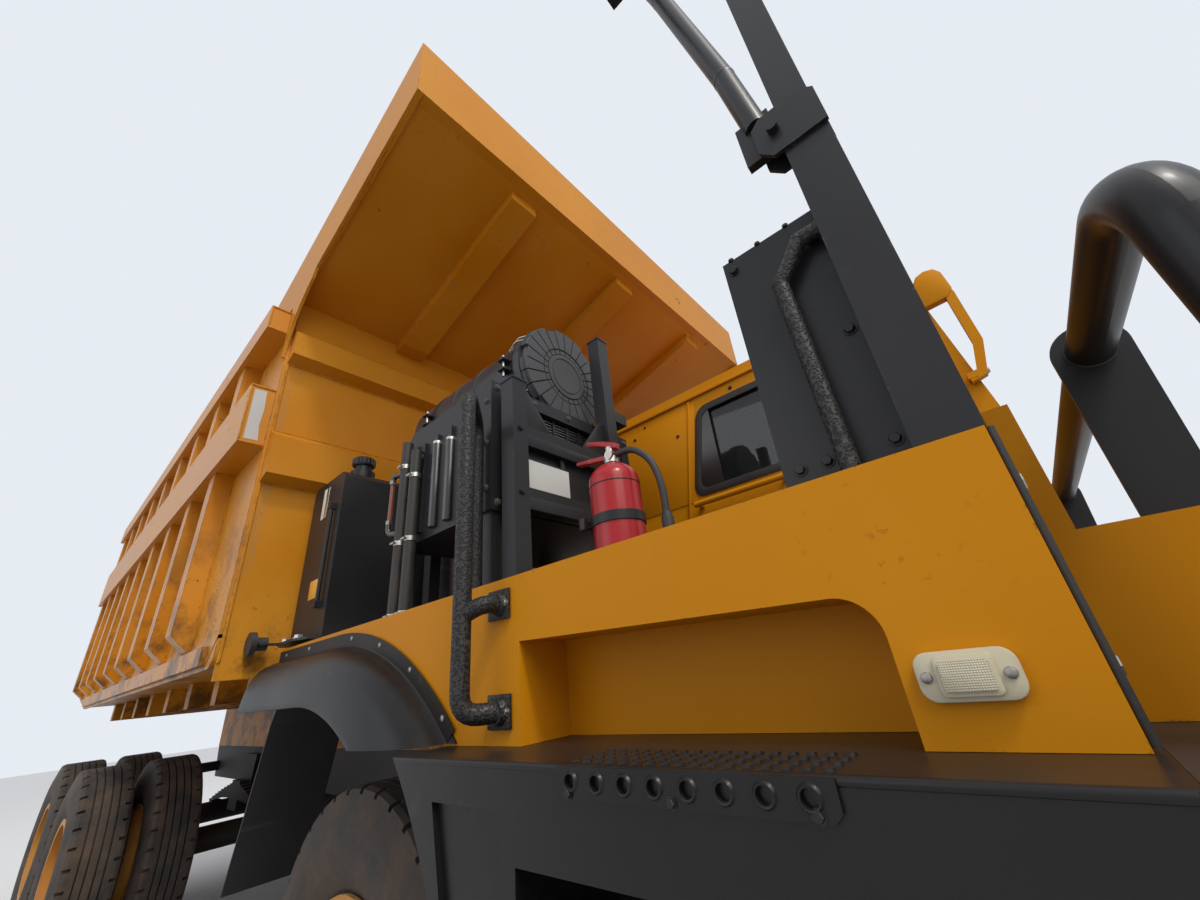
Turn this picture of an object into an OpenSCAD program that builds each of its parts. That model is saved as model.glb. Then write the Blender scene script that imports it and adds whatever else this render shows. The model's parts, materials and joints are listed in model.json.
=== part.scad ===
// Rigid mining dump truck with an offset cab, a side platform and a rock body.
// Millimetres. +X is forward, +Y is the driver's side, +Z is up, the ground is Z = 0.

/* [Wheels] */
// Outer radius of every tyre, at the tips of its tread blocks
tyre_r = 600; // [560:5:640]
// Section width of a tyre
tyre_w = 315; // [280:5:340]
// Radius of the rim where the tyre seats
rim_r = 310; // [280:5:330]
// Depth of the tread grooves
tread_depth = 22; // [10:1:30]
// Front axle's place along the truck
front_axle_x = 1945; // [1900:5:2000]
// First rear axle's place along the truck
rear_axle_x = -1650; // [-1700:5:-1600]
// Distance between the two rear axles
bogie_spacing = 1400; // [1360:5:1450]
// Middle of a front tyre, out from the truck's centre
front_track_y = 1195; // [1180:5:1210]
// Middle of a pair of rear tyres, out from the truck's centre
rear_track_y = 1373; // [1360:1:1385]
// Free gap between two twin tyres
twin_gap = 65; // [50:5:90]

/* [Chassis] */
// Width over the two frame rails
frame_w = 800; // [760:10:820]
// Height of a frame rail
rail_h = 300; // [240:10:320]
// Thickness of the rail's plate
rail_t = 12; // [8:1:16]
// Width of a rail's flange
rail_flange = 90; // [70:5:100]
// Top of the frame above the ground
frame_top = 1150; // [1130:5:1160]

/* [Front platform] */
// Half width over the yellow side panels
fascia_y = 1460; // [1440:5:1480]
// Bottom edge of the side panels
fascia_bottom = 1340; // [1330:5:1360]
// Top edge of the side panels
fascia_top = 1700; // [1690:5:1740]
// Front edge of the side panels
fascia_front = 3865; // [3840:5:3880]
// Rear edge of the side panels
fascia_rear = 1360; // [1340:5:1380]
// Depth of a side panel's body, inwards from its face
fascia_depth = 160; // [150:5:200]
// Radius of the wheel arch
arch_r = 1030; // [1000:5:1050]
// Top face of the walking deck
deck_top = 1640; // [1620:5:1660]
// Thickness of the deck plate
deck_t = 8; // [6:1:12]

/* [Cab] */
// Inner side wall of the cab
cab_y0 = 50; // [30:5:80]
// Outer side wall of the cab
cab_y1 = 1425; // [1400:5:1428]
// Back wall of the cab
cab_rear = 2110; // [2100:5:2150]
// Foot of the windscreen
cab_front = 4030; // [3990:5:4040]
// Underside of the cab
cab_bottom = 1585; // [1582:1:1600]
// Top of the cab's roof
cab_roof = 2960; // [2900:10:3050]
// Thickness of a cab wall or door
cab_t = 40; // [30:5:50]

/* [Body] */
// Half width over the side plates of the tipping body
bed_y = 1660; // [1650:5:1680]
// Outer face of the body's front wall
bed_front = 1165; // [1100:5:1170]
// Rear end of the body's floor
bed_rear = -4165; // [-4200:5:-4100]
// Underside of the body's floor plate
bed_floor = 1650; // [1640:5:1680]
// Top of the body's side walls
bed_top = 3580; // [3400:20:3700]
// Thickness of the body's plates
bed_t = 16; // [10:1:20]
// How far the side rails and ribs stand out
rib_d = 115; // [90:5:120]
// Length of the canopy ahead of the front wall
canopy_len = 1370; // [1200:10:1400]
// Rise of the canopy over its length
canopy_rise = 380; // [300:10:420]
// Height of the canopy's front lip
lip_h = 400; // [300:10:420]
// Height of the tipping hinge
tip_z = 1220; // [1200:5:1230]
// Place of the tipping hinge along the truck
tip_x = -3700; // [-3720:5:-3680]

/* [Hoist] */
// Outer radius of the hoist's outer tube
hoist_r = 110; // [100:1:120]
// Step in radius from one hoist tube to the next
hoist_step = 15; // [12:1:16]
// Place of the hoist along the truck
hoist_x = 1470; // [1460:5:1480]
// Height of the hoist's lower pin
hoist_low_z = 1000; // [990:5:1010]
// Height of the hoist's upper pin
hoist_top_z = 2200; // [2190:5:2210]

/* [Hidden] */
$fn = 64;

// clearances between neighbours, and what follows from the sizes above
gap = 0.3;
seat = 0.5;
hub_r = 45;
king_y = 930;
king_r = 22;
arm_len = 220;
arm_z = 440;
rear_axles_x = [rear_axle_x, rear_axle_x - bogie_spacing];
twin_y = (tyre_w + twin_gap) / 2;
frame_bottom = frame_top - rail_h;
frame_rear = tip_x + 20;
frame_front = 3900;
bumper_front = 4165;
engine_y = 270;
headlamp_y = [890, 1270];
headlamp_z = [960, 1180];
canopy_front = bed_front + canopy_len;
canopy_z0 = bed_top + 90;
canopy_z1 = canopy_z0 + canopy_rise;
orange = [0.93, 0.58, 0.05];
black = [0.09, 0.09, 0.10];
grey = [0.33, 0.33, 0.35];

// a box between two corners
module box(x, y, z) {
  translate([x[0], y[0], z[0]]) cube([x[1] - x[0], y[1] - y[0], z[1] - z[0]]);
}
// the same piece on both sides of the truck
module both_sides() {
  children();
  mirror([0, 1, 0]) children();
}
// a side view outline in X and Z, given thickness across the truck
module across(y0, y1) {
  translate([0, y1, 0]) rotate([90, 0, 0]) linear_extrude(y1 - y0) children();
}
// a front view outline in Y and Z, given length along the truck
module along(x0, x1) {
  translate([x0, 0, 0]) rotate([90, 0, 90]) linear_extrude(x1 - x0) children();
}
// a cylinder across the truck
module axle_cyl(r, y0, y1) {
  translate([0, y1, 0]) rotate([90, 0, 0]) cylinder(r = r, h = y1 - y0);
}
// a round bar from one point to another
module bar(p, q, r) {
  d = q - p;
  len = norm(d);
  translate(p) rotate([0, acos(d[2] / len), atan2(d[1], d[0])]) cylinder(r = r, h = len);
}
// a round elbow that leaves p upwards and turns towards +X or, turned by yaw, another way
module elbow(p, yaw, bend, r) {
  translate(p) rotate(yaw) translate([bend, 0, 0]) rotate([90, 0, 0]) rotate([0, 0, 90])
    rotate_extrude(angle = 90, $fn = 96) translate([bend, 0]) circle(r = r, $fn = 48);
}
// a bent tube through a list of points, with round corners
module bent_tube(points, r) {
  for (i = [0:len(points) - 2]) bar(points[i], points[i + 1], r);
  for (i = [1:len(points) - 2]) translate(points[i]) sphere(r = 1.04 * r);
}

// Columns: distance from the wheel's middle as a share of tyre_w, radius inwards from tyre_r
tyre_side = [[0.36, 0], [0.415, 8], [0.44, 40], [0.49, 105], [0.5, 150], [0.47, 215], [0.40, 270]];
// half a tyre's section in radius and width, its bead on the rim
module tyre_section() {
  outer = [for (p = tyre_side) [tyre_r - p[1], p[0] * tyre_w]];
  inner = [for (i = [len(tyre_side) - 1:-1:0]) [tyre_r - tyre_side[i][1], -tyre_side[i][0] * tyre_w]];
  polygon(concat(outer, [[rim_r + gap, 0.36 * tyre_w], [rim_r + gap, -0.36 * tyre_w]], inner));
}
lug_count = 36;
groove_w = 9;
rib_edges = [-0.2, -0.07, 0.07, 0.2];
// one tyre with its four round grooves and its shoulder blocks, its axis along Y
module tyre() {
  rotate([90, 0, 0]) difference() {
    rotate_extrude($fn = 96) difference() {
      tyre_section();
      for (e = rib_edges) translate([tyre_r - tread_depth, e * tyre_w - groove_w / 2])
        square([2 * tread_depth, groove_w]);
    }
    for (side = [-1, 1]) translate([0, 0, side > 0 ? 0.3 * tyre_w : -0.3 * tyre_w - tyre_w])
      linear_extrude(tyre_w) for (i = [0:lug_count - 1])
        rotate(i * 360 / lug_count) translate([tyre_r - tread_depth, -groove_w])
          square([2 * tread_depth, 2 * groove_w]);
  }
}

// columns: radius, place along the axle; the disc stands near y = +0, outboard is +
// a rim's barrel with its two flanges, its axis along Y
module rim_barrel() {
  rotate([90, 0, 0]) rotate_extrude() {
    translate([rim_r - 24, -0.4 * tyre_w]) square([24, 0.8 * tyre_w]);
    for (s = [-1, 1]) translate([rim_r - 24, s * 0.42 * tyre_w - 6]) square([34, 12]);
  }
}
// a wheel disc between two radii with its hand holes
module wheel_disc(r0, r1, y0, y1) {
  difference() {
    axle_cyl(r1, y0, y1);
    axle_cyl(r0, y0 - 1, y1 + 1);
    for (i = [0:7]) rotate([0, i * 45, 0]) translate([0.72 * rim_r, 0, 0]) axle_cyl(28, y0 - 1, y1 + 1);
  }
}

// front wheel, outboard towards +Y
module front_rim() {
  rim_barrel();
  wheel_disc(hub_r + gap, rim_r - 20, 60, 74);
  difference() {
    union() {
      axle_cyl(140, -20, 110);
      axle_cyl(95, 100, 150);
    }
    axle_cyl(hub_r + gap, -21, 120);
  }
}
// pair of rear rims with the hub and brake drum they share, outboard towards +Y
module rear_rims() {
  for (s = [-1, 1]) translate([0, s * twin_y, 0]) rim_barrel();
  wheel_disc(hub_r + gap, rim_r - 20, -14, 14);
  for (s = [-1, 1]) difference() {
    axle_cyl(rim_r - 20, s > 0 ? 14 : -twin_y, s > 0 ? twin_y : -14);
    axle_cyl(rim_r - 40, s > 0 ? 13 : -twin_y - 1, s > 0 ? twin_y + 1 : -13);
  }
  difference() {
    union() {
      axle_cyl(150, -120, 100);
      axle_cyl(110, 90, 200);
      axle_cyl(205, -300, -120);
    }
    axle_cyl(hub_r + gap, -301, 170);
    axle_cyl(185, -301, -140);
  }
}

module chassis_frame() color(black) {
  web_y = frame_w / 2;
  both_sides() {
    box([frame_rear, frame_front], [web_y - rail_t, web_y], [frame_bottom, frame_top]);
    for (z = [frame_bottom, frame_top - rail_t])
      box([frame_rear, frame_front], [web_y - rail_flange, web_y], [z, z + rail_t]);
  }
  // crossmembers, boxed between the rails
  for (x = [-3560, -2900, -2200, -1500, -800, -100, 600, hoist_x - 270, hoist_x + 230, 3650])
    box([x - 50, x + 50], [-web_y + rail_t, web_y - rail_t], [frame_bottom + 60, frame_top - 60]);
  // engine feet
  both_sides() for (x = [2500, 3300])
    box([x - 40, x + 40], [engine_y + seat, web_y - rail_t], [frame_bottom + 100, frame_bottom + 160]);
  // rear towing eye
  difference() {
    box([frame_rear - 190, -3560], [-25, 25], [frame_bottom + 60, frame_bottom + 230]);
    translate([frame_rear - 140, 0, frame_bottom + 145]) axle_cyl(25, -26, 26);
  }
  // ears that carry the tipping hinge
  both_sides() for (y = [web_y - 100, web_y - 20]) difference() {
    across(y, y + 20) polygon([[frame_rear + 250, frame_bottom], [frame_rear + 250, frame_top - 15],
      [tip_x + 60, frame_top - 15], [tip_x + 70, tip_z + 60], [tip_x - 70, tip_z + 60], [tip_x - 80, tip_z - 60],
      [frame_rear - 10, frame_bottom]]);
    translate([tip_x, 0, tip_z]) axle_cyl(30, y - 1, y + 21);
  }
  both_sides() translate([tip_x, 0, tip_z]) axle_cyl(30, web_y - 100, web_y);
  // front towing eye on the end crossmember, its pin put in from below
  difference() {
    box([frame_front - 200, bumper_front], [-225, -125], [frame_bottom + 60, frame_bottom + 180]);
    translate([bumper_front - 60, -175, frame_bottom]) cylinder(r = 25, h = 200);
  }
  box([3700, frame_front], [-web_y + rail_t, web_y - rail_t], [frame_bottom + 60, frame_bottom + 180]);
  // lower ears of the hoist
  for (y = [-170, 150]) difference() {
    box([hoist_x - 90, hoist_x + 90], [y, y + 20], [frame_bottom + 60, hoist_low_z + 60]);
    translate([hoist_x, 0, hoist_low_z]) axle_cyl(30, y - 1, y + 21);
  }
  box([hoist_x - 270, hoist_x + 230], [-180, 180], [frame_bottom + 40, frame_bottom + 61]);
  translate([hoist_x, 0, hoist_low_z]) axle_cyl(30, -170, 170);
}

module front_axle() color(grey) {
  // drop beam between the kingpin eyes
  for (y = [-1, 1]) translate([front_axle_x, y * king_y, tyre_r - 90]) difference() {
    cylinder(r = 55, h = 180);
    translate([0, 0, -1]) cylinder(r = king_r + gap, h = 182);
  }
  difference() {
    along(front_axle_x - 50, front_axle_x + 50) polygon([
      [-king_y, tyre_r - 70], [-king_y, tyre_r + 70], [-640, tyre_r + 20], [-560, tyre_r - 40],
      [560, tyre_r - 40], [640, tyre_r + 20], [king_y, tyre_r + 70], [king_y, tyre_r - 70],
      [620, tyre_r - 120], [520, tyre_r - 160], [-520, tyre_r - 160], [-620, tyre_r - 120]]);
    for (y = [-1, 1]) translate([front_axle_x, y * king_y, 0]) cylinder(r = 54, h = 2 * tyre_r);
  }
}

module rear_axles() color(black) {
  for (x = rear_axles_x) translate([x, 0, tyre_r]) {
    difference() {
      scale(1) sphere(r = 235);
      box([-300, 300], [-300, -150], [-300, 300]);
      box([-300, 300], [150, 300], [-300, 300]);
    }
    both_sides() {
      axle_cyl(85, 140, rear_track_y - 310);
      axle_cyl(hub_r, rear_track_y - 311, rear_track_y + 150);
      axle_cyl(170, rear_track_y - 320, rear_track_y - 305);
      // pad for the end of the rear spring
      box([-60, 60], [rear_spring_y, rear_spring_y + spring_w], [0, pad_top - tyre_r - 9]);
    }
    translate([0, 0, 30]) rotate([0, 90, 0]) cylinder(r = 110, h = 300);
  }
}

spring_y = frame_w / 2;
spring_w = 80;
leaf_t = 14;
leaf_count = 8;
front_spring_curve = 3600;
rear_spring_curve = 5000;
front_spring_z = tyre_r - 40 + seat + leaf_count * leaf_t;
rear_spring_y = frame_w / 2 + 60;
pad_top = 700;
trunnion_x = rear_axle_x - bogie_spacing / 2;
rear_sag = rear_spring_curve - sqrt(pow(rear_spring_curve, 2) - pow(bogie_spacing / 2, 2));
rear_spring_z = pad_top + seat + rear_sag;
// a pack of bent leaves, its longest leaf on the inside of the bend
module leaf_pack(half_len, curve) {
  for (i = [0:leaf_count - 1]) intersection() {
    translate([0, curve]) difference() {
      circle(r = curve + (i + 1) * leaf_t, $fn = 192);
      circle(r = curve + i * leaf_t - 0.01, $fn = 192);
    }
    square([2 * half_len * (1 - i / (leaf_count + 1)), 2 * half_len], center = true);
  }
}
module springs() color(black) both_sides() {
  // front pack on the beam, hung from the frame at both ends
  across(spring_y + seat, spring_y + spring_w) {
    translate([front_axle_x, front_spring_z]) leaf_pack(640, front_spring_curve);
    for (x = [front_axle_x - 600, front_axle_x + 600]) polygon([[x - 40, front_spring_z + 20],
      [x + 40, front_spring_z + 20], [x + 60, frame_top - 60], [x - 60, frame_top - 60]]);
  }
  // rear pack, its ends on the two axles and its middle clamped below the frame
  across(rear_spring_y, rear_spring_y + spring_w) {
    translate([trunnion_x, rear_spring_z]) mirror([0, 1]) leaf_pack(770, rear_spring_curve);
    polygon([[trunnion_x - 130, rear_spring_z - 90], [trunnion_x + 130, rear_spring_z - 90],
      [trunnion_x + 110, rear_spring_z + 140], [trunnion_x - 110, rear_spring_z + 140]]);
  }
  across(spring_y + seat, rear_spring_y + 1) polygon([[trunnion_x - 100, rear_spring_z - 80],
    [trunnion_x + 100, rear_spring_z - 80], [trunnion_x + 180, frame_top - 60], [trunnion_x - 180, frame_top - 60]]);
}

module engine() color(grey) {
  box([2250, 3550], [-engine_y, engine_y], [880, 1500]);
  box([1790, 2251], [-200, 200], [860, 1250]);
}

module drive_shaft() color(grey) {
  hang = 800;
  translate([rear_axles_x[0] + 300 + seat, 0, tyre_r + 30]) rotate([0, 90, 0]) cylinder(r = 70, h = 30);
  bar([rear_axles_x[0] + 315, 0, tyre_r + 30], [1100, 0, hang], 45);
  translate([1100, 0, hang]) sphere(r = 55);
  bar([1100, 0, hang], [1780, 0, hang + 20], 45);
  box([1780, 1810], [-60, 60], [hang - 40, 860 - seat]);
  bar([rear_axles_x[1] + 300 + seat, 0, tyre_r + 30], [rear_axles_x[0] - 235 - seat, 0, tyre_r + 30], 45);
}

module knuckle() color(grey) {
  // built for the side at +Y
  translate([front_axle_x, king_y, 0]) {
    for (z = [tyre_r - 90 - seat - 40, tyre_r + 90 + seat]) translate([0, 0, z]) cylinder(r = 55, h = 40);
    translate([0, 0, tyre_r - 130]) cylinder(r = king_r, h = 260);
    box([-55, 55], [60, 90], [tyre_r - 90 - seat - 40, tyre_r + 90 + seat + 40]);
    for (z = [tyre_r - 90 - seat - 40, tyre_r + 90 + seat]) box([-55, 55], [0, 90], [z, z + 40]);
    translate([0, 0, tyre_r]) {
      axle_cyl(hub_r, 80, front_track_y - king_y + 100);
      axle_cyl(75, 85, front_track_y - king_y - 25);
    }
    // steering arm
    box([-arm_len, 0], [-25, 25], [arm_z, tyre_r - 90 - seat]);
    translate([-arm_len, 0, arm_z]) cylinder(r = 40, h = tyre_r - 90 - seat - arm_z);
  }
}
module tie_rod() color(black) {
  x = front_axle_x - arm_len;
  for (y = [-1, 1]) translate([x, y * king_y, arm_z - seat - 40]) cylinder(r = 38, h = 40);
  bar([x, -king_y, arm_z - seat - 20], [x, king_y, arm_z - seat - 20], 18);
}

// side panel over the front wheel, with its recess, for the side at +Y
module fascia_outline() {
  difference() {
    polygon([[fascia_front, fascia_bottom], [fascia_front, fascia_top], [fascia_rear, fascia_top - 12],
      [fascia_rear, fascia_bottom]]);
    translate([front_axle_x, tyre_r]) circle(r = arch_r, $fn = 128);
    translate([fascia_rear - 10, fascia_bottom - 10])
      square([front_axle_x - fascia_rear + 10, tyre_r + arch_r - fascia_bottom + 10]);
  }
}
recess_x = [2932, 3673];
recess_top = 1525;
recess_rise = 20;
recess_corner = 60;
skin = 10;
flange = 30;
// outline of the recess, grown by a wall of g
module recess_outline(g, below) {
  polygon([[recess_x[0] - g, fascia_bottom - below], [recess_x[0] - g, recess_top + recess_rise + g],
    [recess_x[1] - recess_corner, recess_top + g], [recess_x[1] + g, recess_top - recess_corner],
    [recess_x[1] + g, fascia_bottom - below]]);
  translate([recess_x[1] - recess_corner, recess_top - recess_corner]) circle(r = recess_corner + g);
}
module side_fascias() color(orange) both_sides() difference() {
  union() {
    across(fascia_y - skin, fascia_y) fascia_outline();
    // top, front and rear flanges
    across(fascia_y - flange, fascia_y - 1) {
      polygon([[fascia_front, fascia_top], [fascia_front, fascia_top - skin],
        [fascia_rear, fascia_top - 12 - skin], [fascia_rear, fascia_top - 12]]);
      translate([fascia_front - skin, fascia_bottom]) square([skin, fascia_top - fascia_bottom]);
    }
    across(fascia_y - fascia_depth, fascia_y - 1) recess_outline(skin, 0);
  }
  across(fascia_y - fascia_depth + skin, fascia_y + 1) recess_outline(0, 1);
}

flare_lip_y = 1580;
flare_lip_r = 860;
flare_t = 14;
// section of the flare in radius and width: it leaves the panel and bulges out to its lip
module flare_section() {
  polygon([[arch_r, fascia_y + gap], [arch_r + 30, fascia_y + gap], [arch_r + 30, fascia_y + 5],
    [arch_r + 5, fascia_y + 8], [arch_r - 25, fascia_y + 75], [arch_r - 80, flare_lip_y - 12],
    [flare_lip_r, flare_lip_y], [flare_lip_r, flare_lip_y - flare_t], [arch_r - 84, flare_lip_y - 28],
    [arch_r - 38, fascia_y + 66], [arch_r - 12, fascia_y + gap]]);
}
module arch_flares() color(grey) both_sides() {
  translate([front_axle_x, 0, tyre_r]) {
    rotate([-90, 0, 0]) rotate([0, 0, -90]) rotate_extrude(angle = 44, $fn = 128) flare_section();
    translate([fascia_rear - front_axle_x, 0, 0]) rotate([90, 0, 90])
      linear_extrude(front_axle_x - fascia_rear) mirror([1, 0]) rotate(90) flare_section();
  }
}

// apron behind each front wheel: hung from the deck's rear edge, sloping back and down
flap_line = [[1225, deck_top - deck_t - gap], [1100, 1395], [865, 772]];
flap_t = 8;
module mud_flaps() color(black) both_sides() across(1060, 1380) polygon([flap_line[0], flap_line[1], flap_line[2],
  [flap_line[2][0] + flap_t, flap_line[2][1]], [flap_line[1][0] + flap_t, flap_line[1][1]],
  [flap_line[0][0] + 40, flap_line[0][1]]]);

deck_rear = 1215;
deck_in = 450;
deck_open = 1680;
bearer_h = 70;
module deck() color(black) {
  y1 = fascia_y - skin - seat;
  bearer_z = deck_top - deck_t - bearer_h;
  // plate around the opening for the hoist and the engine
  translate([0, 0, deck_top - deck_t]) linear_extrude(deck_t) polygon([
    [deck_rear, -y1], [fascia_front - 40, -y1], [fascia_front - 40, cab_y0 - 20], [deck_open, cab_y0 - 20],
    [deck_open, -deck_in], [deck_rear, -deck_in]]);
  translate([0, 0, deck_top - deck_t]) linear_extrude(deck_t) polygon([
    [deck_open - 80, -deck_in - 1], [deck_open, -deck_in - 1], [deck_open, deck_in],
    [cab_rear - 25, deck_in], [cab_rear - 25, y1], [deck_rear, y1], [deck_rear, deck_in],
    [deck_open - 80, deck_in]]);
  // bearers out from the frame, with their legs
  for (x = [1640, 2650, 3560]) {
    box([x - 40, x + 40], [-y1, -deck_in + 60], [bearer_z, deck_top - deck_t + 1]);
    box([x - 40, x + 40], [-frame_w / 2 - 75, -frame_w / 2 + 60], [frame_top + seat, bearer_z + 1]);
  }
  box([1600, 1680], [deck_in - 60, y1], [bearer_z, deck_top - deck_t + 1]);
  box([1600, 1680], [frame_w / 2 - 60, frame_w / 2 + 75], [frame_top + seat, bearer_z + 1]);
}

fairing_y = 1600;
fairing_top = fascia_bottom - seat;
fairing_bottom = 620;
fairing_t = 20;
// black step housing below each side panel
module fairing_outline() {
  difference() {
    polygon([[fascia_front + 10, fairing_bottom], [fascia_front + 10, fairing_top],
      [front_axle_x + 600, fairing_top], [front_axle_x + 600, fairing_bottom]]);
    translate([front_axle_x, tyre_r]) circle(r = arch_r, $fn = 128);
  }
}
step_x = [3080, 3700];
tread_x = [3190, 3610];
tread_z = fairing_top - 42;
// folded tread plate on the housing's top edge, with its row of round holes
module tread_plates() color(black) both_sides() difference() {
  union() {
    across(fairing_y + seat, fairing_y + seat + 5) polygon([[tread_x[0], tread_z + 10], [tread_x[0] + 10, tread_z],
      [tread_x[1] - 10, tread_z], [tread_x[1], tread_z + 10], [tread_x[1], fairing_top - 1],
      [tread_x[0], fairing_top - 1]]);
  }
  for (x = [tread_x[0] + 30:51.4:tread_x[1] - 25]) translate([x, 0, fairing_top - 20])
    axle_cyl(9.5, fairing_y, fairing_y + 10);
}
module step_fairings() color(black) both_sides() {
  difference() {
    across(fairing_y - 330, fairing_y) fairing_outline();
    // two step wells, open to the side, and the hollow behind them
    for (z = [fairing_bottom + 60, fairing_bottom + 340])
      box(step_x, [fairing_y - 240, fairing_y + 1], [z, z + 240]);
    box([front_axle_x + 1100, fascia_front - 20], [fairing_y - 331, fairing_y - 260], [fairing_bottom - 1, fairing_top - 20]);
    // sloped lower edge and the shallow panel between the arch and the steps
    translate([0, fairing_y, fairing_bottom]) rotate([45, 0, 0]) translate([2600, -40, -40]) cube([1400, 80, 80]);
    across(fairing_y - 12, fairing_y + 1) polygon([[step_x[0] - 250, fairing_top - 70], [step_x[0] - 40, fairing_top - 70],
      [step_x[0] - 40, fairing_bottom + 70], [step_x[0] - 95, fairing_bottom + 70]]);
  }
}

// outline of the bumper in plan, smaller by g
module bumper_plan(g) {
  half = fairing_y - 4 - g;
  front = bumper_front - g;
  polygon([[fascia_front + 10 + seat - (g > 0 ? 12 : 0), -half], [front - 70, -half], [front - 15, -half + 80],
    [front, -half + 300], [front, half - 300], [front - 15, half - 80], [front - 70, half],
    [fascia_front + 10 + seat - (g > 0 ? 12 : 0), half]]);
}
module bumper() color(black) {
  difference() {
    translate([0, 0, fairing_bottom + 20]) linear_extrude(fairing_top - fairing_bottom - 20) bumper_plan(0);
    translate([0, 0, fairing_bottom]) linear_extrude(fairing_top - fairing_bottom - 20) bumper_plan(20);
    // lamp pockets, the middle air slots and the hole for the towing eye
    both_sides() {
      box([bumper_front - 60, bumper_front + 1], headlamp_y, headlamp_z);
      translate([bumper_front - 60, headlamp_y[0] + 190, headlamp_z[0] - 130]) rotate([0, 90, 0]) cylinder(r = 62, h = 61);
    }
    for (z = [840:70:1170]) box([bumper_front - 60, bumper_front + 1], [-700, 700], [z, z + 34]);
    box([bumper_front - 60, bumper_front + 1], [-240, -110], [frame_bottom + 50, frame_bottom + 190]);
  }
}

apron_y = 1250;
apron_top = 1580;
apron_front = 4150;
module front_apron() color(orange) {
  difference() {
    box([fascia_front + 15, apron_front], [-apron_y, apron_y], [fairing_top + seat, apron_top]);
    box([fascia_front + 14, apron_front - 12], [-apron_y + 12, apron_y - 12], [fairing_top, apron_top - 12]);
    for (y = [-900:60:900]) box([apron_front - 20, apron_front + 1], [y - 18, y + 18], [fairing_top + 50, apron_top - 50]);
  }
  // upright corner plate behind the apron
  box([fascia_front + 15, fascia_front + 50], [-apron_y, -apron_y + 12], [apron_top - 1, apron_top + 210]);
}

guard_z = 1960;
guard_x = 4105;
guard_y = 1470;
guard_r = 37.5;
guard_bend = 110;
guard_post = 60;
guard_clear = 5;
// rail across the front, turned down at both ends, with flat posts that it passes through
module guard_rail() color(black) {
  z0 = fairing_top + seat;
  bar([guard_x, -guard_y + guard_bend, guard_z], [guard_x, guard_y - guard_bend, guard_z], guard_r);
  both_sides() {
    bar([guard_x, -guard_y, z0], [guard_x, -guard_y, guard_z - guard_bend], guard_r);
    elbow([guard_x, -guard_y, guard_z - guard_bend], 90, guard_bend, guard_r);
  }
  for (y = [-915, 600, 1200]) across(y - 5, y + 5) union() {
    polygon([[cab_front + guard_clear, apron_top + seat], [guard_x + 35, apron_top + seat],
      [guard_x + guard_post, guard_z], [guard_x - guard_post, guard_z]]);
    translate([guard_x, guard_z]) circle(r = guard_post);
  }
}

// side view of the cab
module cab_profile(inset) {
  offset_pts = [[cab_rear + inset, cab_bottom + inset], [cab_rear + inset, cab_roof - 60 - inset],
    [cab_rear + 60 + inset, cab_roof - inset], [cab_front - 160 - inset, cab_roof - inset],
    [cab_front - 90 - inset, cab_roof - 60 - inset], [cab_front - inset, 2140], [cab_front - inset, cab_bottom + inset]];
  polygon(offset_pts);
}
door_x = [2870, 3800];
door_z = [1720, 2840];
win_z = [2310, 2790];
// openings for the fixed windows, each smaller by g all round
module window_cuts(g) {
  z = [win_z[0] + g, win_z[1] - g];
  // inner side
  for (x = [[2830, 3560], [2240, 2640]]) box([x[0] + g, x[1] - g], [cab_y0 - 1, cab_y0 + cab_t + 1], z);
  // outer side, behind the door
  box([2240 + g, 2700 - g], [cab_y1 - cab_t - 1, cab_y1 + 1], z);
  // windscreen and back window
  box([cab_front - 220, cab_front + 20], [cab_y0 + 90 + g, cab_y1 - 90 - g], [z[0] - 130, z[1] + 20]);
  box([cab_rear - 1, cab_rear + cab_t + 1], [cab_y0 + 250 + g, cab_y1 - 250 - g], z);
}
module cab_body(inset) across(cab_y0 + inset, cab_y1 - inset) cab_profile(inset);
hinge_x = door_x[1] - 3;
hinge_y = cab_y1 + 14;
hinge_r = 6;
hinge_wall = 6;
hinge_h = 80;
hinge_z = [1850, 2550];
door_gap = 6;
module cab_shell() color(orange) {
  difference() {
    cab_body(0);
    cab_body(cab_t);
    window_cuts(0);
    box([door_x[0], door_x[1]], [cab_y1 - cab_t - 1, cab_y1 + 1], door_z);
  }
  // door hinges: a pin held in an eye above and one below the door's own eye
  for (z = hinge_z) {
    translate([hinge_x, hinge_y, z - hinge_h]) cylinder(r = hinge_r, h = 3 * hinge_h);
    for (h = [z - hinge_h, z + hinge_h + 1]) {
      translate([hinge_x, hinge_y, h]) cylinder(r = hinge_r + hinge_wall, h = hinge_h - 1);
      box([hinge_x + 8, hinge_x + 60], [cab_y1 - 1, hinge_y + 4], [h, h + hinge_h - 1]);
    }
  }
  // grab rail below the inner side's window, on its two feet
  rail_y = cab_y0 - 60;
  bar([2675, rail_y, 2230], [3175, rail_y, 2230], 16);
  for (x = [2690, 3160]) bar([x, rail_y, 2230], [x, cab_y0 + 10, 2230], 13);
  // bracket bar on the front corner
  across(cab_y0 - 40, cab_y0 - 4) polygon([[3975, 2360], [4030, 2375], [4068, 2520], [4062, 2780], [4020, 2925],
    [3985, 2925], [3995, 2900], [4028, 2775], [4034, 2525], [4005, 2405], [3970, 2400]]);
  for (z = [2375, 2890]) box([3968, 4000], [cab_y0 - 41, cab_y0 + 10], [z, z + 26]);
  // roof hatch and the raised edge above the windscreen
  box([2700, 3300], [420, 1060], [cab_roof - 1, cab_roof + 34]);
  box([3660, 3840], [cab_y0 + 120, cab_y1 - 120], [cab_roof - 1, cab_roof + 22]);
  // feet on the frame
  for (x = [2450, 3560]) box([x - 40, x + 40], [frame_w / 2 - 60, frame_w / 2 + 75], [frame_top + seat, cab_bottom + 1]);
}
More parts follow.
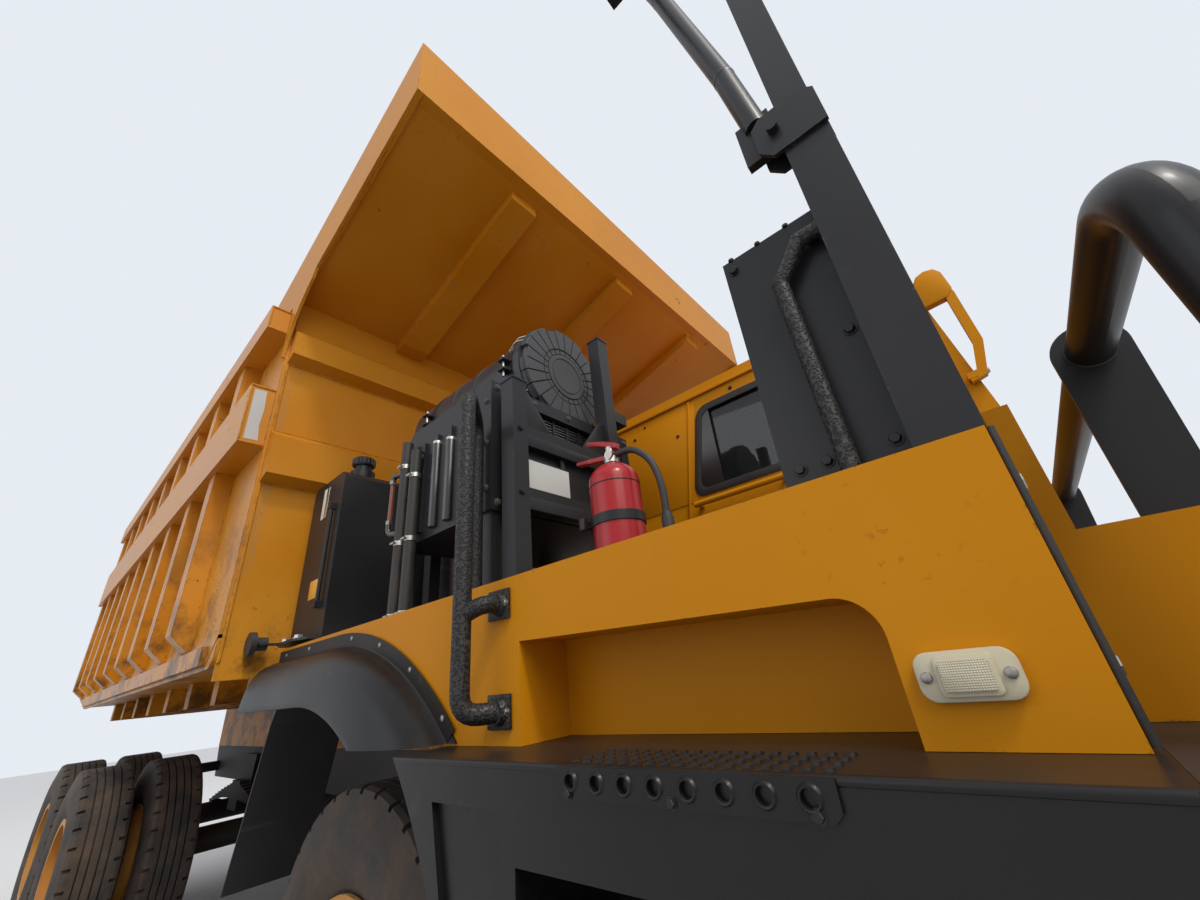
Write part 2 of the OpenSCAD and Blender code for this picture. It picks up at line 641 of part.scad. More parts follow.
door_in = [door_x[0] + door_gap, door_x[1] - door_gap];
door_light = [[door_in[0] + 90, door_in[1] - 90], [win_z[0] - 60, win_z[1] - 20]];
module cab_door() color(orange) {
  difference() {
    box(door_in, [cab_y1 - cab_t, cab_y1], [door_z[0] + door_gap, door_z[1] - door_gap]);
    box(door_light[0], [cab_y1 - cab_t - 1, cab_y1 + 1], door_light[1]);
  }
  // hinge eyes on their leaves
  for (z = hinge_z) difference() {
    union() {
      translate([hinge_x, hinge_y, z]) cylinder(r = hinge_r + hinge_wall, h = hinge_h);
      box([hinge_x - 60, hinge_x - 8], [cab_y1 - 1, hinge_y + 4], [z, z + hinge_h]);
    }
    translate([hinge_x, hinge_y, z - 1]) cylinder(r = hinge_r + gap, h = hinge_h + 2);
  }
  // pull handle
  box([door_in[0] + 40, door_in[0] + 170], [cab_y1 - 1, cab_y1 + 22], [2040, 2075]);
}
glass_t = 6;
module door_glass() color([0.3, 0.4, 0.45, 0.6])
  box([door_light[0][0] + gap, door_light[0][1] - gap], [cab_y1 - 24, cab_y1 - 24 + glass_t],
    [door_light[1][0] + gap, door_light[1][1] - gap]);
module cab_glass() color([0.3, 0.4, 0.45, 0.6]) intersection() {
  difference() {
    cab_body(17);
    cab_body(17 + glass_t);
  }
  window_cuts(gap);
}
module cab_interior() color(black) {
  y = (cab_y0 + cab_y1) / 2;
  floor_z = cab_bottom + cab_t + seat;
  // seat on its base
  box([2700, 3100], [y - 180, y + 180], [floor_z, floor_z + 250]);
  box([2620, 3160], [y - 250, y + 250], [floor_z + 250, floor_z + 380]);
  across(y - 240, y + 240) polygon([[2620, floor_z + 380], [2760, floor_z + 380], [2660, floor_z + 1000],
    [2560, floor_z + 1000], [2520, floor_z + 700]]);
  // dashboard across the front
  dash_x = cab_front - cab_t - 12;
  across(cab_y0 + cab_t + seat, cab_y1 - cab_t - seat) polygon([[3700, floor_z + 420], [3700, floor_z + 540],
    [3800, floor_z + 590], [dash_x, floor_z + 540], [dash_x, floor_z], [3900, floor_z]]);
  // steering column and wheel
  bar([3800, y, floor_z + 520], [3560, y, floor_z + 760], 25);
  translate([3560, y, floor_z + 760]) rotate([0, -45, 0]) {
    rotate_extrude() translate([205, 0]) circle(r = 15, $fn = 24);
    for (a = [0, 120, 240]) rotate(a) translate([0, -12, -8]) cube([200, 24, 16]);
  }
}

tank_x = [1235, 1595];
tank_y = [-1400, -850];
tank_top = 2470;
module oil_tank() color(black) {
  across(tank_y[0], tank_y[1]) polygon([[tank_x[0], fascia_top + 4], [tank_x[0], tank_top - 30],
    [tank_x[0] + 30, tank_top], [tank_x[1] - 30, tank_top], [tank_x[1], tank_top - 30], [tank_x[1], fascia_top + 4]]);
  box(tank_x, [tank_y[0] + 5, tank_y[1] - 10], [deck_top + seat, fascia_top + 5]);
  // foot with two holed ears that stands out over the side panel
  difference() {
    translate([0, 0, fascia_top + 6]) linear_extrude(10) polygon([[tank_x[0], tank_y[0] + 20], [tank_x[1], tank_y[0] + 20],
      [tank_x[1] - 20, tank_y[0] - 50], [tank_x[1] - 90, tank_y[0] - 78], [tank_x[0] + 90, tank_y[0] - 78],
      [tank_x[0], tank_y[0] - 40]]);
    for (x = [tank_x[0] + 110, tank_x[1] - 110]) translate([x, tank_y[0] - 48, fascia_top]) cylinder(r = 12, h = 30);
  }
  // filler neck and its cap
  translate([(tank_x[0] + tank_x[1]) / 2, -1250, tank_top - 1]) {
    cylinder(r = 45, h = 60);
    translate([0, 0, 40]) cylinder(r = 60, h = 40);
  }
  // sight tube on the side
  bar([tank_x[1] - 70, tank_y[0] - 14, 1850], [tank_x[1] - 70, tank_y[0] - 14, 2300], 9);
  for (z = [1850, 2300]) box([tank_x[1] - 82, tank_x[1] - 58], [tank_y[0] - 26, tank_y[0] + 1], [z - 14, z + 14]);
}
// horn on the tank's foot, its mouth outwards
module horn() color(black) {
  translate([tank_x[0] - 10, 0, fascia_top + 25]) {
    axle_cyl(50, -1560, -1538);
    axle_cyl(28, -1539, -1490);
  }
  box([tank_x[0] - 10, tank_x[0] + 60], [-1530, -1440], [fascia_top + 16 + seat, fascia_top + 22]);
}
module fuel_tank() color(black) {
  box([-550, 650], [520, 1120], [640, 1120]);
  translate([350, 950, 1119]) cylinder(r = 55, h = 60);
  for (x = [-400, 100, 500]) box([x - 30, x + 30], [frame_w / 2 + seat, 521], [frame_bottom + 40, frame_top - 40]);
}

stand_x = 2775;
post_w = 60;
cooler_x = [2130, 2710];
cooler_y = [-1375, -620];
cooler_z = [1945, 2418];
filter_x = [1750, 2630];
filter_y = -911;
filter_z = 2676;
filter_r = 238;
// columns: place across the truck and top of each post of the stand
posts = [[-1330, 2390], [-840, 2820]];
module radiator_stand() color(black) {
  for (p = posts) box([stand_x - post_w / 2, stand_x + post_w / 2], [p[0] - post_w / 2, p[0] + post_w / 2],
    [deck_top + seat, p[1]]);
  for (z = [1960, 2180]) box([stand_x - 20, stand_x + 20], [posts[0][0], posts[1][0]], [z, z + 45]);
  // saddles that hold the filter: one on the cooler's top, one on legs behind it
  difference() {
    for (x = [2500, 1900]) box([x, x + 50], [filter_y - 220, filter_y + 220], [cooler_z[1] + seat, filter_z]);
    translate([1800, filter_y, filter_z]) rotate([0, 90, 0]) cylinder(r = filter_r + gap, h = 900);
  }
  for (y = [filter_y - 220, filter_y + 170]) box([1900, 1950], [y, y + 50], [deck_top + seat, cooler_z[1] + 40]);
  // arm from the tall post to the front saddle
  box([2500, stand_x], [filter_y + 205, filter_y + 220], [cooler_z[1] + 20, cooler_z[1] + 70]);
  box([stand_x - post_w / 2, stand_x], [posts[1][0], filter_y + 220], [cooler_z[1] + 20, cooler_z[1] + 70]);
}
module cooler() color(black) {
  x = cooler_x;
  y = cooler_y;
  z = cooler_z;
  difference() {
    across(y[0], y[1]) polygon([[x[0], z[0]], [x[0], z[1] - 60], [x[0] + 60, z[1]], [x[1], z[1]], [x[1], z[0]]]);
    box([x[1] - 30, x[1] + 1], [y[0] + 50, y[1] - 50], [z[0] + 50, z[1] - 50]);
  }
  for (yf = [y[0] + 10, y[1] - 50]) for (xf = [x[0] + 10, x[1] - 60]) box([xf, xf + 50], [yf, yf + 40],
    [deck_top + seat, z[0] + 1]);
  // ribs on the outer side
  for (i = [0:4]) box([x[0] + 60 + i * 90, x[0] + 90 + i * 90], [y[0] - 12, y[0] + 1], [z[0] + 30, z[1] - 90]);
}
// hoses from the cooler's outer side down to the deck
module cooler_hoses() color(black) {
  y = cooler_y[0] - 12 - seat - 20;
  for (h = [[2215, 2330], [2290, 2270]]) {
    bar([h[0], y, deck_top + seat], [h[0], y, h[1] + 24], 20);
    bar([h[0], y, h[1]], [h[0], cooler_y[0] - 12 - seat, h[1]], 17);
  }
}
intake_x = 1668;
intake_r = 66;
// air pipe from the filter's rear end down through the deck
module intake_pipe() color(black) {
  bar([intake_x, filter_y, deck_top + seat], [intake_x, filter_y, filter_z - 90], intake_r);
  translate([intake_x, filter_y, filter_z - 90]) sphere(r = intake_r + 4);
  bar([intake_x, filter_y, filter_z - 90], [filter_x[0] - seat, filter_y, filter_z - 90], intake_r - 6);
}
module air_filter() color(black) translate([0, filter_y, filter_z]) rotate([0, 90, 0]) {
  translate([0, 0, filter_x[0]]) cylinder(r = filter_r, h = filter_x[1] - filter_x[0] - 60);
  translate([0, 0, filter_x[1] - 61]) cylinder(r = filter_r + 14, h = 36);
  translate([0, 0, filter_x[1] - 26]) cylinder(r = filter_r - 20, h = 26);
}
module extinguisher() color([0.75, 0.06, 0.10]) translate([3165, -1340, deck_top + seat]) {
  bottle_r = 63;
  cylinder(r = bottle_r, h = 330);
  translate([0, 0, 330]) rotate_extrude() intersection() {
    scale(1) circle(r = bottle_r);
    square([bottle_r, bottle_r]);
  }
  translate([0, 0, 380]) cylinder(r = 18, h = 42);
  // carrying handle and the lever above it
  across(-9, 9) polygon([[-80, 408], [20, 412], [20, 420], [-80, 416]]);
  across(-9, 9) polygon([[-86, 446], [24, 421], [24, 430], [-86, 454]]);
  // hose, from the valve over and down to its nozzle on the deck
  bent_tube([[14, 0, 405], [60, 8, 408], [105, 14, 370], [125, 18, 300], [125, 18, 130]], 9);
  translate([125, 18, 0]) cylinder(r = 14, h = 135);
  // strap of its bracket
  translate([0, 0, 120]) cylinder(r = bottle_r + 4, h = 26);
}
grab_r = 22;
module grab_handle() color(black) {
  x = 2825;
  y = -fascia_y - 80;
  foot_x = x + 40;
  // outer leg held to the side panel twice, then over and down to the deck
  bent_tube([[foot_x, -fascia_y - gap - 4, 1406], [foot_x, -fascia_y - 42, 1406], [x, y, 1440], [x - 5, y, 2190],
    [x - 60, y + 30, 2240], [x - 130, -1420, 2230], [x - 150, -1405, 2160], [x - 150, -1405, deck_top + seat]], grab_r);
  bent_tube([[x, y, 1620], [foot_x, -fascia_y - 42, 1635], [foot_x, -fascia_y - gap - 4, 1635]], grab_r);
  for (z = [1406, 1635]) box([x, x + 80], [-fascia_y - gap - 8, -fascia_y - gap], [z - 35, z + 35]);
}
channel_y = [-1458, -1418];
module side_screen() color(black) {
  box([3590, 3860], [channel_y[1] + seat, channel_y[1] + 5], [deck_top + seat, 2230]);
}
clevis = [3815, 2425];
arm_y = -1438;
arm_r = 26;
// coated hand hold from the post down to the side panel's top
module screen_handle() color(black) {
  y = (channel_y[0] + channel_y[1]) / 2 - 2;
  foot_x = 3698;
  foot_z = fascia_top - 12 * (fascia_front - foot_x) / (fascia_front - fascia_rear) + 0.3;
  bent_tube([[3783 - seat, y, 2158], [3745, y, 2158], [3690, y, 2085], [foot_x, y, 1740], [foot_x, y, foot_z]], 15);
}
module mirror_post() color(black) {
  box([3783, 3867], channel_y, [fascia_top + seat, clevis[1] + 15]);
  box([3795, 3862], [arm_y - 8, arm_y + 8], [clevis[1], 3150]);
  // clevis plates on both faces of the post, and their pin
  for (y = [channel_y[0] - 8, channel_y[1] - 1]) across(y, y + 9) polygon([
    [clevis[0] - 75, clevis[1] - 30], [clevis[0] - 50, clevis[1] - 60], [clevis[0] + 55, clevis[1] - 60],
    [clevis[0] + 55, clevis[1] + 40], [clevis[0] + 30, clevis[1] + 65], [clevis[0] - 55, clevis[1] + 65],
    [clevis[0] - 75, clevis[1] + 45]]);
  translate([clevis[0] - 35, 0, clevis[1] + 5]) axle_cyl(12, channel_y[0] - 24, channel_y[1] + 24);
}
mirror_at = [3590, -1560, 3480];
module mirror_arm() color(black) {
  // arm out of the clevis, beside the post's upper bar
  arm_x = clevis[0] - 35 - 12;
  bent_tube([[3750, arm_y, 2500], [3725, arm_y, 2735], [3639, arm_y, 3302], [3610, arm_y, 3460], [mirror_at[0] - 30, mirror_at[1] + 30, mirror_at[2]]], arm_r);
  // foot of the arm between the clevis plates
  difference() {
    box([arm_x - 60, 3783 - seat], [arm_y - 10, arm_y + 10], [clevis[1] - 20, 2530]);
    translate([clevis[0] - 35, 0, clevis[1] + 5]) axle_cyl(12 + gap, arm_y - 11, arm_y + 11);
  }
  // housing of the mirror
  difference() {
    box([mirror_at[0] - 70, mirror_at[0]], [mirror_at[1] - 160, mirror_at[1] + 40], [mirror_at[2] - 180, mirror_at[2] + 180]);
    box([mirror_at[0] - 71, mirror_at[0] - 62], [mirror_at[1] - 150, mirror_at[1] + 30], [mirror_at[2] - 170, mirror_at[2] + 170]);
  }
}
module lamps() color([0.9, 0.85, 0.7]) both_sides() {
  box([3692, 3796], [fascia_y + gap, fascia_y + 22], [1390, 1445]);
  box([bumper_front - 50, bumper_front - 15], [headlamp_y[0] + gap, headlamp_y[1] - gap],
    [headlamp_z[0] + gap, headlamp_z[1] - gap]);
}

// bar across the frame's end that carries the rear lamps
module rear_bar() color(black) both_sides() {
  y0 = frame_w / 2 + seat;
  box([frame_rear + 20, frame_rear + 80], [y0, 1000], [frame_bottom + 60, frame_bottom + 150]);
  box([frame_rear - 40, frame_rear + 21], [620, 980], [frame_bottom + 40, frame_bottom + 170]);
}
module tail_lamps() color([0.7, 0.1, 0.08]) both_sides()
  for (y = [640, 755, 870]) box([frame_rear - 40 - seat - 18, frame_rear - 40 - seat], [y, y + 90],
    [frame_bottom + 55, frame_bottom + 155]);
// mirror on the cab's outer front corner
module cab_mirror() color(black) {
  y = cab_y1 + seat;
  box([3880, 3920], [y, y + 20], [2350, 2900]);
  bar([3900, y + 10, 2400], [3900, y + 190, 2440], 12);
  bar([3900, y + 10, 2850], [3900, y + 190, 2810], 12);
  box([3870, 3940], [y + 150, y + 330], [2400, 2850]);
}

// side outline of the body's floor, with its rising tail
tail_x = -3400;
tail_rise = 120;
module bed_floor_plate() color(orange) {
  across(-bed_y + bed_t, bed_y - bed_t) polygon([[bed_front - bed_t, bed_floor], [tail_x, bed_floor],
    [bed_rear, bed_floor + tail_rise], [bed_rear, bed_floor + tail_rise + bed_t], [tail_x, bed_floor + bed_t],
    [bed_front - bed_t, bed_floor + bed_t]]);
  // cross bearers and the two long sills
  for (x = [-3200:600:1000]) box([x - 50, x + 50], [-bed_y + 200, bed_y - 200], [bed_floor - 140, bed_floor]);
  both_sides() {
    box([tip_x + 105, 1100], [frame_w / 2 - 75, frame_w / 2 + 45], [frame_top + seat, bed_floor - 100]);
    difference() {
      across(frame_w / 2 - 75, frame_w / 2 - 25) union() {
        translate([tip_x, tip_z]) circle(r = 65);
        polygon([[tip_x - 60, tip_z], [tip_x + 60, tip_z], [tip_x + 150, tip_z + 80],
          [tip_x + 150, bed_floor + 1], [tip_x - 60, bed_floor + 1]]);
      }
      translate([tip_x, 0, tip_z]) axle_cyl(30 + gap, 0, frame_w);
    }
  }
}

// columns: bottom and top of each side rail
side_rails = [[bed_top - 890, bed_top - 545], [bed_top - 160, bed_top]];
module bed_sides() color(orange) both_sides() {
  across(bed_y - bed_t, bed_y) difference() {
    polygon([[bed_front, bed_floor + 120], [bed_front, bed_top], [bed_rear + 120, bed_top],
      [bed_rear, bed_top - 600], [bed_rear, bed_floor + tail_rise - 10], [tail_x, bed_floor - 10],
      [bed_front - 120, bed_floor - 10], [bed_front, bed_floor + 110]]);
  }
  for (r = side_rails) difference() {
    box([bed_rear + 160, bed_front - 10], [bed_y, bed_y + rib_d], r);
    box([bed_rear + 172, bed_front - 22], [bed_y - 1, bed_y + rib_d - 12], [r[0] + 12, r[1] - 12]);
  }
  // long strip along the floor's edge
  box([tail_x + 40, bed_front - 130], [bed_y, bed_y + 22], [bed_floor + 10, bed_floor + 90]);
  for (x = [bed_rear + 300:560:bed_front - 200]) {
    along(x - 60, x + 60) polygon([[bed_y, bed_floor + 90], [bed_y + rib_d - 25, bed_floor + 180],
      [bed_y + rib_d - 25, side_rails[0][0]], [bed_y, side_rails[0][0]]]);
    along(x - 60, x + 60) polygon([[bed_y, side_rails[0][1]], [bed_y + rib_d - 25, side_rails[0][1]],
      [bed_y + rib_d - 25, side_rails[1][0]], [bed_y, side_rails[1][0]]]);
  }
}

wall_beams = [[bed_top - 1090, bed_top - 790], [bed_top - 360, bed_top - 120]];
beam_d = 85;
module bed_front_wall() color(orange) {
  y = bed_y - bed_t;
  box([bed_front - bed_t, bed_front], [-y, y], [bed_floor - 60, canopy_z0]);
  for (b = wall_beams) across(-y, y) polygon([[bed_front, b[0]], [bed_front + beam_d, b[0] + 30],
    [bed_front + beam_d, b[1] - 60], [bed_front, b[1]]]);
  // hoist cheeks
  both_sides() across(66, 86) polygon([[bed_front, hoist_top_z - 90],
    [bed_front, hoist_top_z + 200], [hoist_x + 60, hoist_top_z + 60], [hoist_x + 60, hoist_top_z - 60]]);
}
module bed_canopy() color(orange) {
  slope = canopy_rise / canopy_len;
  // roof plate
  across(-bed_y + bed_t, bed_y - bed_t) polygon([[bed_front - bed_t, canopy_z0 + seat], [bed_front, canopy_z0 + seat],
    [canopy_front - 14, canopy_z1], [canopy_front - 14, canopy_z1 + 14], [bed_front - bed_t, canopy_z0 + 14]]);
  // lip
  box([canopy_front - 14, canopy_front], [-bed_y + bed_t, bed_y - bed_t], [canopy_z1, canopy_z1 + lip_h]);
  box([canopy_front - 90, canopy_front], [-bed_y + bed_t, bed_y - bed_t], [canopy_z1 - 14, canopy_z1]);
  box([canopy_front - 80, canopy_front], [-bed_y + bed_t, bed_y - bed_t], [canopy_z1 + lip_h - 12, canopy_z1 + lip_h]);
  // ribs below the plate
  for (y = [-950, 0, 950]) across(y - 90, y + 90) polygon([[bed_front + seat, canopy_z0 + seat], [bed_front + seat, canopy_z0 - 60],
    [bed_front + 120, canopy_z0 - 60], [canopy_front - 90, canopy_z1 - 90], [canopy_front - 90, canopy_z1]]);
  // side plates, with a hollow sweep from the wall's edge into the canopy
  sweep_r = 520;
  tip = [bed_front, bed_top - 330];
  both_sides() across(bed_y + seat, bed_y + seat + bed_t) difference() {
    polygon([[tip[0] - 9, tip[1]], tip, [bed_front + 300, canopy_z0 + 50], [canopy_front, canopy_z1 - 14],
      [canopy_front, canopy_z1 + lip_h], [bed_front - 700, bed_top + 260], [bed_front - 700, bed_top + 40],
      [bed_front - 9, bed_top + 40]]);
    translate([tip[0] + sweep_r, tip[1] - 40]) circle(r = sweep_r, $fn = 128);
  }
  both_sides() across(bed_y - bed_t, bed_y + seat + 1) polygon([[bed_front - 700, bed_top + seat],
    [bed_front, bed_top + seat], [bed_front, canopy_z0 - 20], [canopy_front, canopy_z1 - 14],
    [canopy_front, canopy_z1 + lip_h], [bed_front - 700, bed_top + 260]]);
}

hoist_len = hoist_top_z - hoist_low_z;
// one tube of the hoist, by its number from the outside
module hoist_tube(i) {
  r = hoist_r - i * hoist_step;
  z0 = hoist_low_z + 60 + i * 12;
  z1 = hoist_top_z - 80 - (i == 4 ? 0 : 60 - i * 14);
  translate([hoist_x, 0, 0]) difference() {
    translate([0, 0, z0]) cylinder(r = r, h = z1 - z0);
    if (i < 4) translate([0, 0, z0 + 11.5]) cylinder(r = r - hoist_step + gap, h = z1);
  }
}
module hoist_barrel() color(black) {
  difference() {
    union() {
      hoist_tube(0);
      translate([hoist_x, 0, hoist_low_z]) axle_cyl(58, -140, 140);
      translate([hoist_x - 58, -90, hoist_low_z]) cube([116, 180, 61]);
    }
    translate([hoist_x, 0, hoist_low_z]) axle_cyl(30 + gap, -141, 141);
  }
}
module hoist_rod() color([0.75, 0.75, 0.76]) {
  hoist_tube(4);
  translate([hoist_x, 0, hoist_top_z]) {
    axle_cyl(58, -50, 50);
    axle_cyl(30, -60, 60);
    translate([-35, -35, -90]) cube([70, 70, 60]);
  }
}

chassis_frame();
front_axle();
rear_axles();
springs();
engine();
drive_shaft();
knuckle();  // knuckle_left
mirror([0, 1, 0]) knuckle();  // knuckle_right
tie_rod();
color(black) translate([front_axle_x, front_track_y, tyre_r]) tyre();  // tyre_front_left
color(black) translate([front_axle_x, -front_track_y, tyre_r]) tyre();  // tyre_front_right
color(orange) translate([front_axle_x, front_track_y, tyre_r]) front_rim();  // rim_front_left
color(orange)  // rim_front_right
  translate([front_axle_x, -front_track_y, tyre_r]) mirror([0, 1, 0]) front_rim();
module twin_tyres(axle, side) color(black) for (s = [-1, 1])
  translate([rear_axles_x[axle], side * rear_track_y + s * twin_y, tyre_r]) tyre();
module twin_rims(axle, side) color(orange)
  translate([rear_axles_x[axle], side * rear_track_y, tyre_r]) mirror([0, side < 0 ? 1 : 0, 0]) rear_rims();
twin_tyres(0, 1);  // tyres_mid_left
twin_tyres(0, -1);  // tyres_mid_right
twin_tyres(1, 1);  // tyres_rear_left
twin_tyres(1, -1);  // tyres_rear_right
twin_rims(0, 1);  // rims_mid_left
twin_rims(0, -1);  // rims_mid_right
twin_rims(1, 1);  // rims_rear_left
twin_rims(1, -1);  // rims_rear_right
side_fascias();
arch_flares();
mud_flaps();
deck();
step_fairings();
tread_plates();
bumper();
front_apron();
guard_rail();
cab_shell();
cab_door();
door_glass();
cab_glass();
cab_interior();
oil_tank();
horn();
fuel_tank();
radiator_stand();
cooler();
cooler_hoses();
air_filter();
intake_pipe();
extinguisher();
grab_handle();
side_screen();
mirror_post();
screen_handle();
mirror_arm();
cab_mirror();
lamps();
rear_bar();
tail_lamps();
bed_floor_plate();
bed_sides();
bed_front_wall();
bed_canopy();
hoist_barrel();
color(grey) hoist_tube(1);  // hoist_stage_1
color(grey) hoist_tube(2);  // hoist_stage_2
color(grey) hoist_tube(3);  // hoist_stage_3
hoist_rod();
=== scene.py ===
"""Looks of a wide-body mining dump truck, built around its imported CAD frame.

Every length is in metres, in the frame of the CAD model: +X forward, +Y the driver's side, +Z up,
with the ground at zero.
"""
from __future__ import annotations

import json
import logging
import math
from dataclasses import dataclass
from enum import Enum
from typing import Any, Iterable, Sequence

import bmesh
import bpy
from mathutils import Matrix, Vector

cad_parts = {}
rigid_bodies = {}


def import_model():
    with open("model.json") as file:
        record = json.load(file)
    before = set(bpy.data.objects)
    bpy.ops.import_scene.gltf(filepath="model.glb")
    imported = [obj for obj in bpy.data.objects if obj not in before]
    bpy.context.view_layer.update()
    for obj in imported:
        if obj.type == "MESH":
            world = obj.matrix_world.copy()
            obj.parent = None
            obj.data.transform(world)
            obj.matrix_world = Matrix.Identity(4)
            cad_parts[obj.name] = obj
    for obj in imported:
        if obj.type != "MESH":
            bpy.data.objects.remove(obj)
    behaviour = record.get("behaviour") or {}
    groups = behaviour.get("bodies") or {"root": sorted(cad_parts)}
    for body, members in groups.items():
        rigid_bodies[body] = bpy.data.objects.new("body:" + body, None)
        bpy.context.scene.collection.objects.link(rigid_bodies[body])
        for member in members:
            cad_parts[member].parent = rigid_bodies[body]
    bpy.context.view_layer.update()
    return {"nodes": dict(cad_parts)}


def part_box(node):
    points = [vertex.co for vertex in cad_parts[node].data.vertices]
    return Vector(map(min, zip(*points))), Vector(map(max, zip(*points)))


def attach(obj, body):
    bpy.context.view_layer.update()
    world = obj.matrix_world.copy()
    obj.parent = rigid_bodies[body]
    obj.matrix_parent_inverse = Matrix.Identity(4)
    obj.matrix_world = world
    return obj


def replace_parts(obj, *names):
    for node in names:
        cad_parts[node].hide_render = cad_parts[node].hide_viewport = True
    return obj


log = logging.getLogger("dump_truck")
Point = Sequence[float]
Flat = Sequence[float]
Colour = tuple[float, float, float]
GRIME = (0.055, 0.026, 0.014)
ROAD_DUST = (0.17, 0.115, 0.075)
PRIMER = (0.09, 0.085, 0.08)
FORWARD, UP = (1, 0, 0), (0, 0, 1)
LEFT, RIGHT = (0, 1, 0), (0, -1, 0)
TINY = 1e-6


class Body(str, Enum):
    """The moving bodies that pieces ride on."""

    CHASSIS = "chassis"
    BED = "bed"
    DOOR = "door"


class Axis(str, Enum):
    """The direction in which an outline is given its thickness."""

    X = "x"
    Y = "y"
    Z = "z"


# Shader building


class Tree:
    """Short calls that make and join the nodes of one shader tree."""

    def __init__(self, tree: bpy.types.NodeTree) -> None:
        """Starts on an existing tree.

        Args:
            tree: The node tree that receives the nodes.
        """
        self.tree = tree
        self.column = 0

    def add(self, kind: str, sockets: dict[Any, Any] | None = None, **settings: Any) -> bpy.types.Node:
        """Adds one node.

        Args:
            kind: Blender's name of the node type.
            sockets: Values or other nodes' outputs, by the name or number of the input.
            settings: Plain properties of the node.

        Returns:
            The new node.
        """
        node = self.tree.nodes.new(kind)
        self.column += 1
        node.location = (self.column * 180, -(self.column % 5) * 160)
        for name, value in settings.items():
            setattr(node, name, value)
        for name, value in (sockets or {}).items():
            self.put(node.inputs[name], value)
        return node

    def put(self, socket: bpy.types.NodeSocket, value: Any) -> None:
        """Links an output to a socket, or sets its plain value."""
        if isinstance(value, bpy.types.NodeSocket):
            self.tree.links.new(value, socket)
        else:
            socket.default_value = value

    def group(self, tree: bpy.types.NodeTree, sockets: dict[str, Any]) -> bpy.types.Node:
        """Places a node group with its own values."""
        return self.add("ShaderNodeGroup", sockets, node_tree=tree)

    def mask(self, tree: bpy.types.NodeTree, sockets: dict[str, Any]) -> bpy.types.NodeSocket:
        """Places a node group with its own values and returns its mask."""
        return self.group(tree, sockets).outputs["Mask"]

    def place(self) -> bpy.types.NodeSocket:
        """Gives the place on the truck, in metres."""
        return self.add("ShaderNodeTexCoord").outputs["Object"]

    def upward(self, vector: Any) -> bpy.types.NodeSocket:
        """Gives the upward part of a vector."""
        return self.add("ShaderNodeSeparateXYZ", {0: vector}).outputs["Z"]

    def math(self, operation: str, first: Any, second: Any, clamp: bool = False) -> bpy.types.NodeSocket:
        """Joins two values by arithmetic and returns the result's socket."""
        node = self.add("ShaderNodeMath", {0: first, 1: second}, operation=operation, use_clamp=clamp)
        return node.outputs[0]

    def scaled(self, value: Any, factor: float, offset: Any, clamp: bool = False) -> bpy.types.NodeSocket:
        """Gives a value times a factor, plus an offset."""
        return self.math("ADD", self.math("MULTIPLY", value, factor), offset, clamp)

    def noise(self, vector: Any, scale: Any, detail: float, rough: float = 0.55) -> bpy.types.NodeSocket:
        """Adds a noise texture and returns its value."""
        sockets = {"Vector": vector, "Scale": scale, "Detail": detail, "Roughness": rough}
        return self.add("ShaderNodeTexNoise", sockets).outputs["Fac"]

    def ramp(self, value: Any, low: Any, high: Any) -> bpy.types.NodeSocket:
        """Stretches a value so that low becomes 0 and high becomes 1, with clamped ends."""
        sockets = {"Value": value, "From Min": low, "From Max": high}
        return self.add("ShaderNodeMapRange", sockets, clamp=True).outputs["Result"]

    def rise(self, value: Any, limit: Any, width: float) -> bpy.types.NodeSocket:
        """Turns a value into a mask that rises from 0 at a limit to 1 a short width above it."""
        return self.ramp(value, limit, self.math("ADD", limit, width))

    def mix(self, share: Any, first: Any, second: Any) -> bpy.types.NodeSocket:
        """Mixes two colours and returns the result's socket."""
        sockets = {0: share, 6: as_rgba(first), 7: as_rgba(second)}
        return self.add("ShaderNodeMix", sockets, data_type="RGBA", clamp_factor=True).outputs[2]

    def bump(self, socket: bpy.types.NodeSocket, height: Any, strength: float, distance: float) -> None:
        """Feeds a shader's normal socket from a height."""
        sockets = {"Strength": strength, "Distance": distance, "Height": height}
        self.put(socket, self.add("ShaderNodeBump", sockets).outputs["Normal"])


def as_rgba(value: Any) -> Any:
    """Gives a plain colour its alpha, and leaves sockets alone."""
    return (*value, 1.0) if isinstance(value, tuple) and len(value) == 3 else value


def lighter(colour: Colour, factor: float, lift: float = 0.0) -> Colour:
    """Gives another shade of a colour."""
    return tuple(min(1.0, c * factor + lift) for c in colour)


def new_group(name: str, inputs: dict[str, float],
              outputs: Iterable[str] = ("Mask",)) -> tuple[Tree, Any, Any]:
    """Starts a shader node group.

    Args:
        name: The group's name.
        inputs: Default values by input name.
        outputs: Names of the value outputs.

    Returns:
        The tree with short calls, the sockets that bring values in and those that take them out.
    """
    data = bpy.data.node_groups.new(name, "ShaderNodeTree")
    for key, value in inputs.items():
        socket = data.interface.new_socket(name=key, in_out="INPUT", socket_type="NodeSocketFloat")
        socket.default_value = value
    for key in outputs:
        data.interface.new_socket(name=key, in_out="OUTPUT", socket_type="NodeSocketFloat")
    tree = Tree(data)
    return tree, tree.add("NodeGroupInput").outputs, tree.add("NodeGroupOutput").inputs


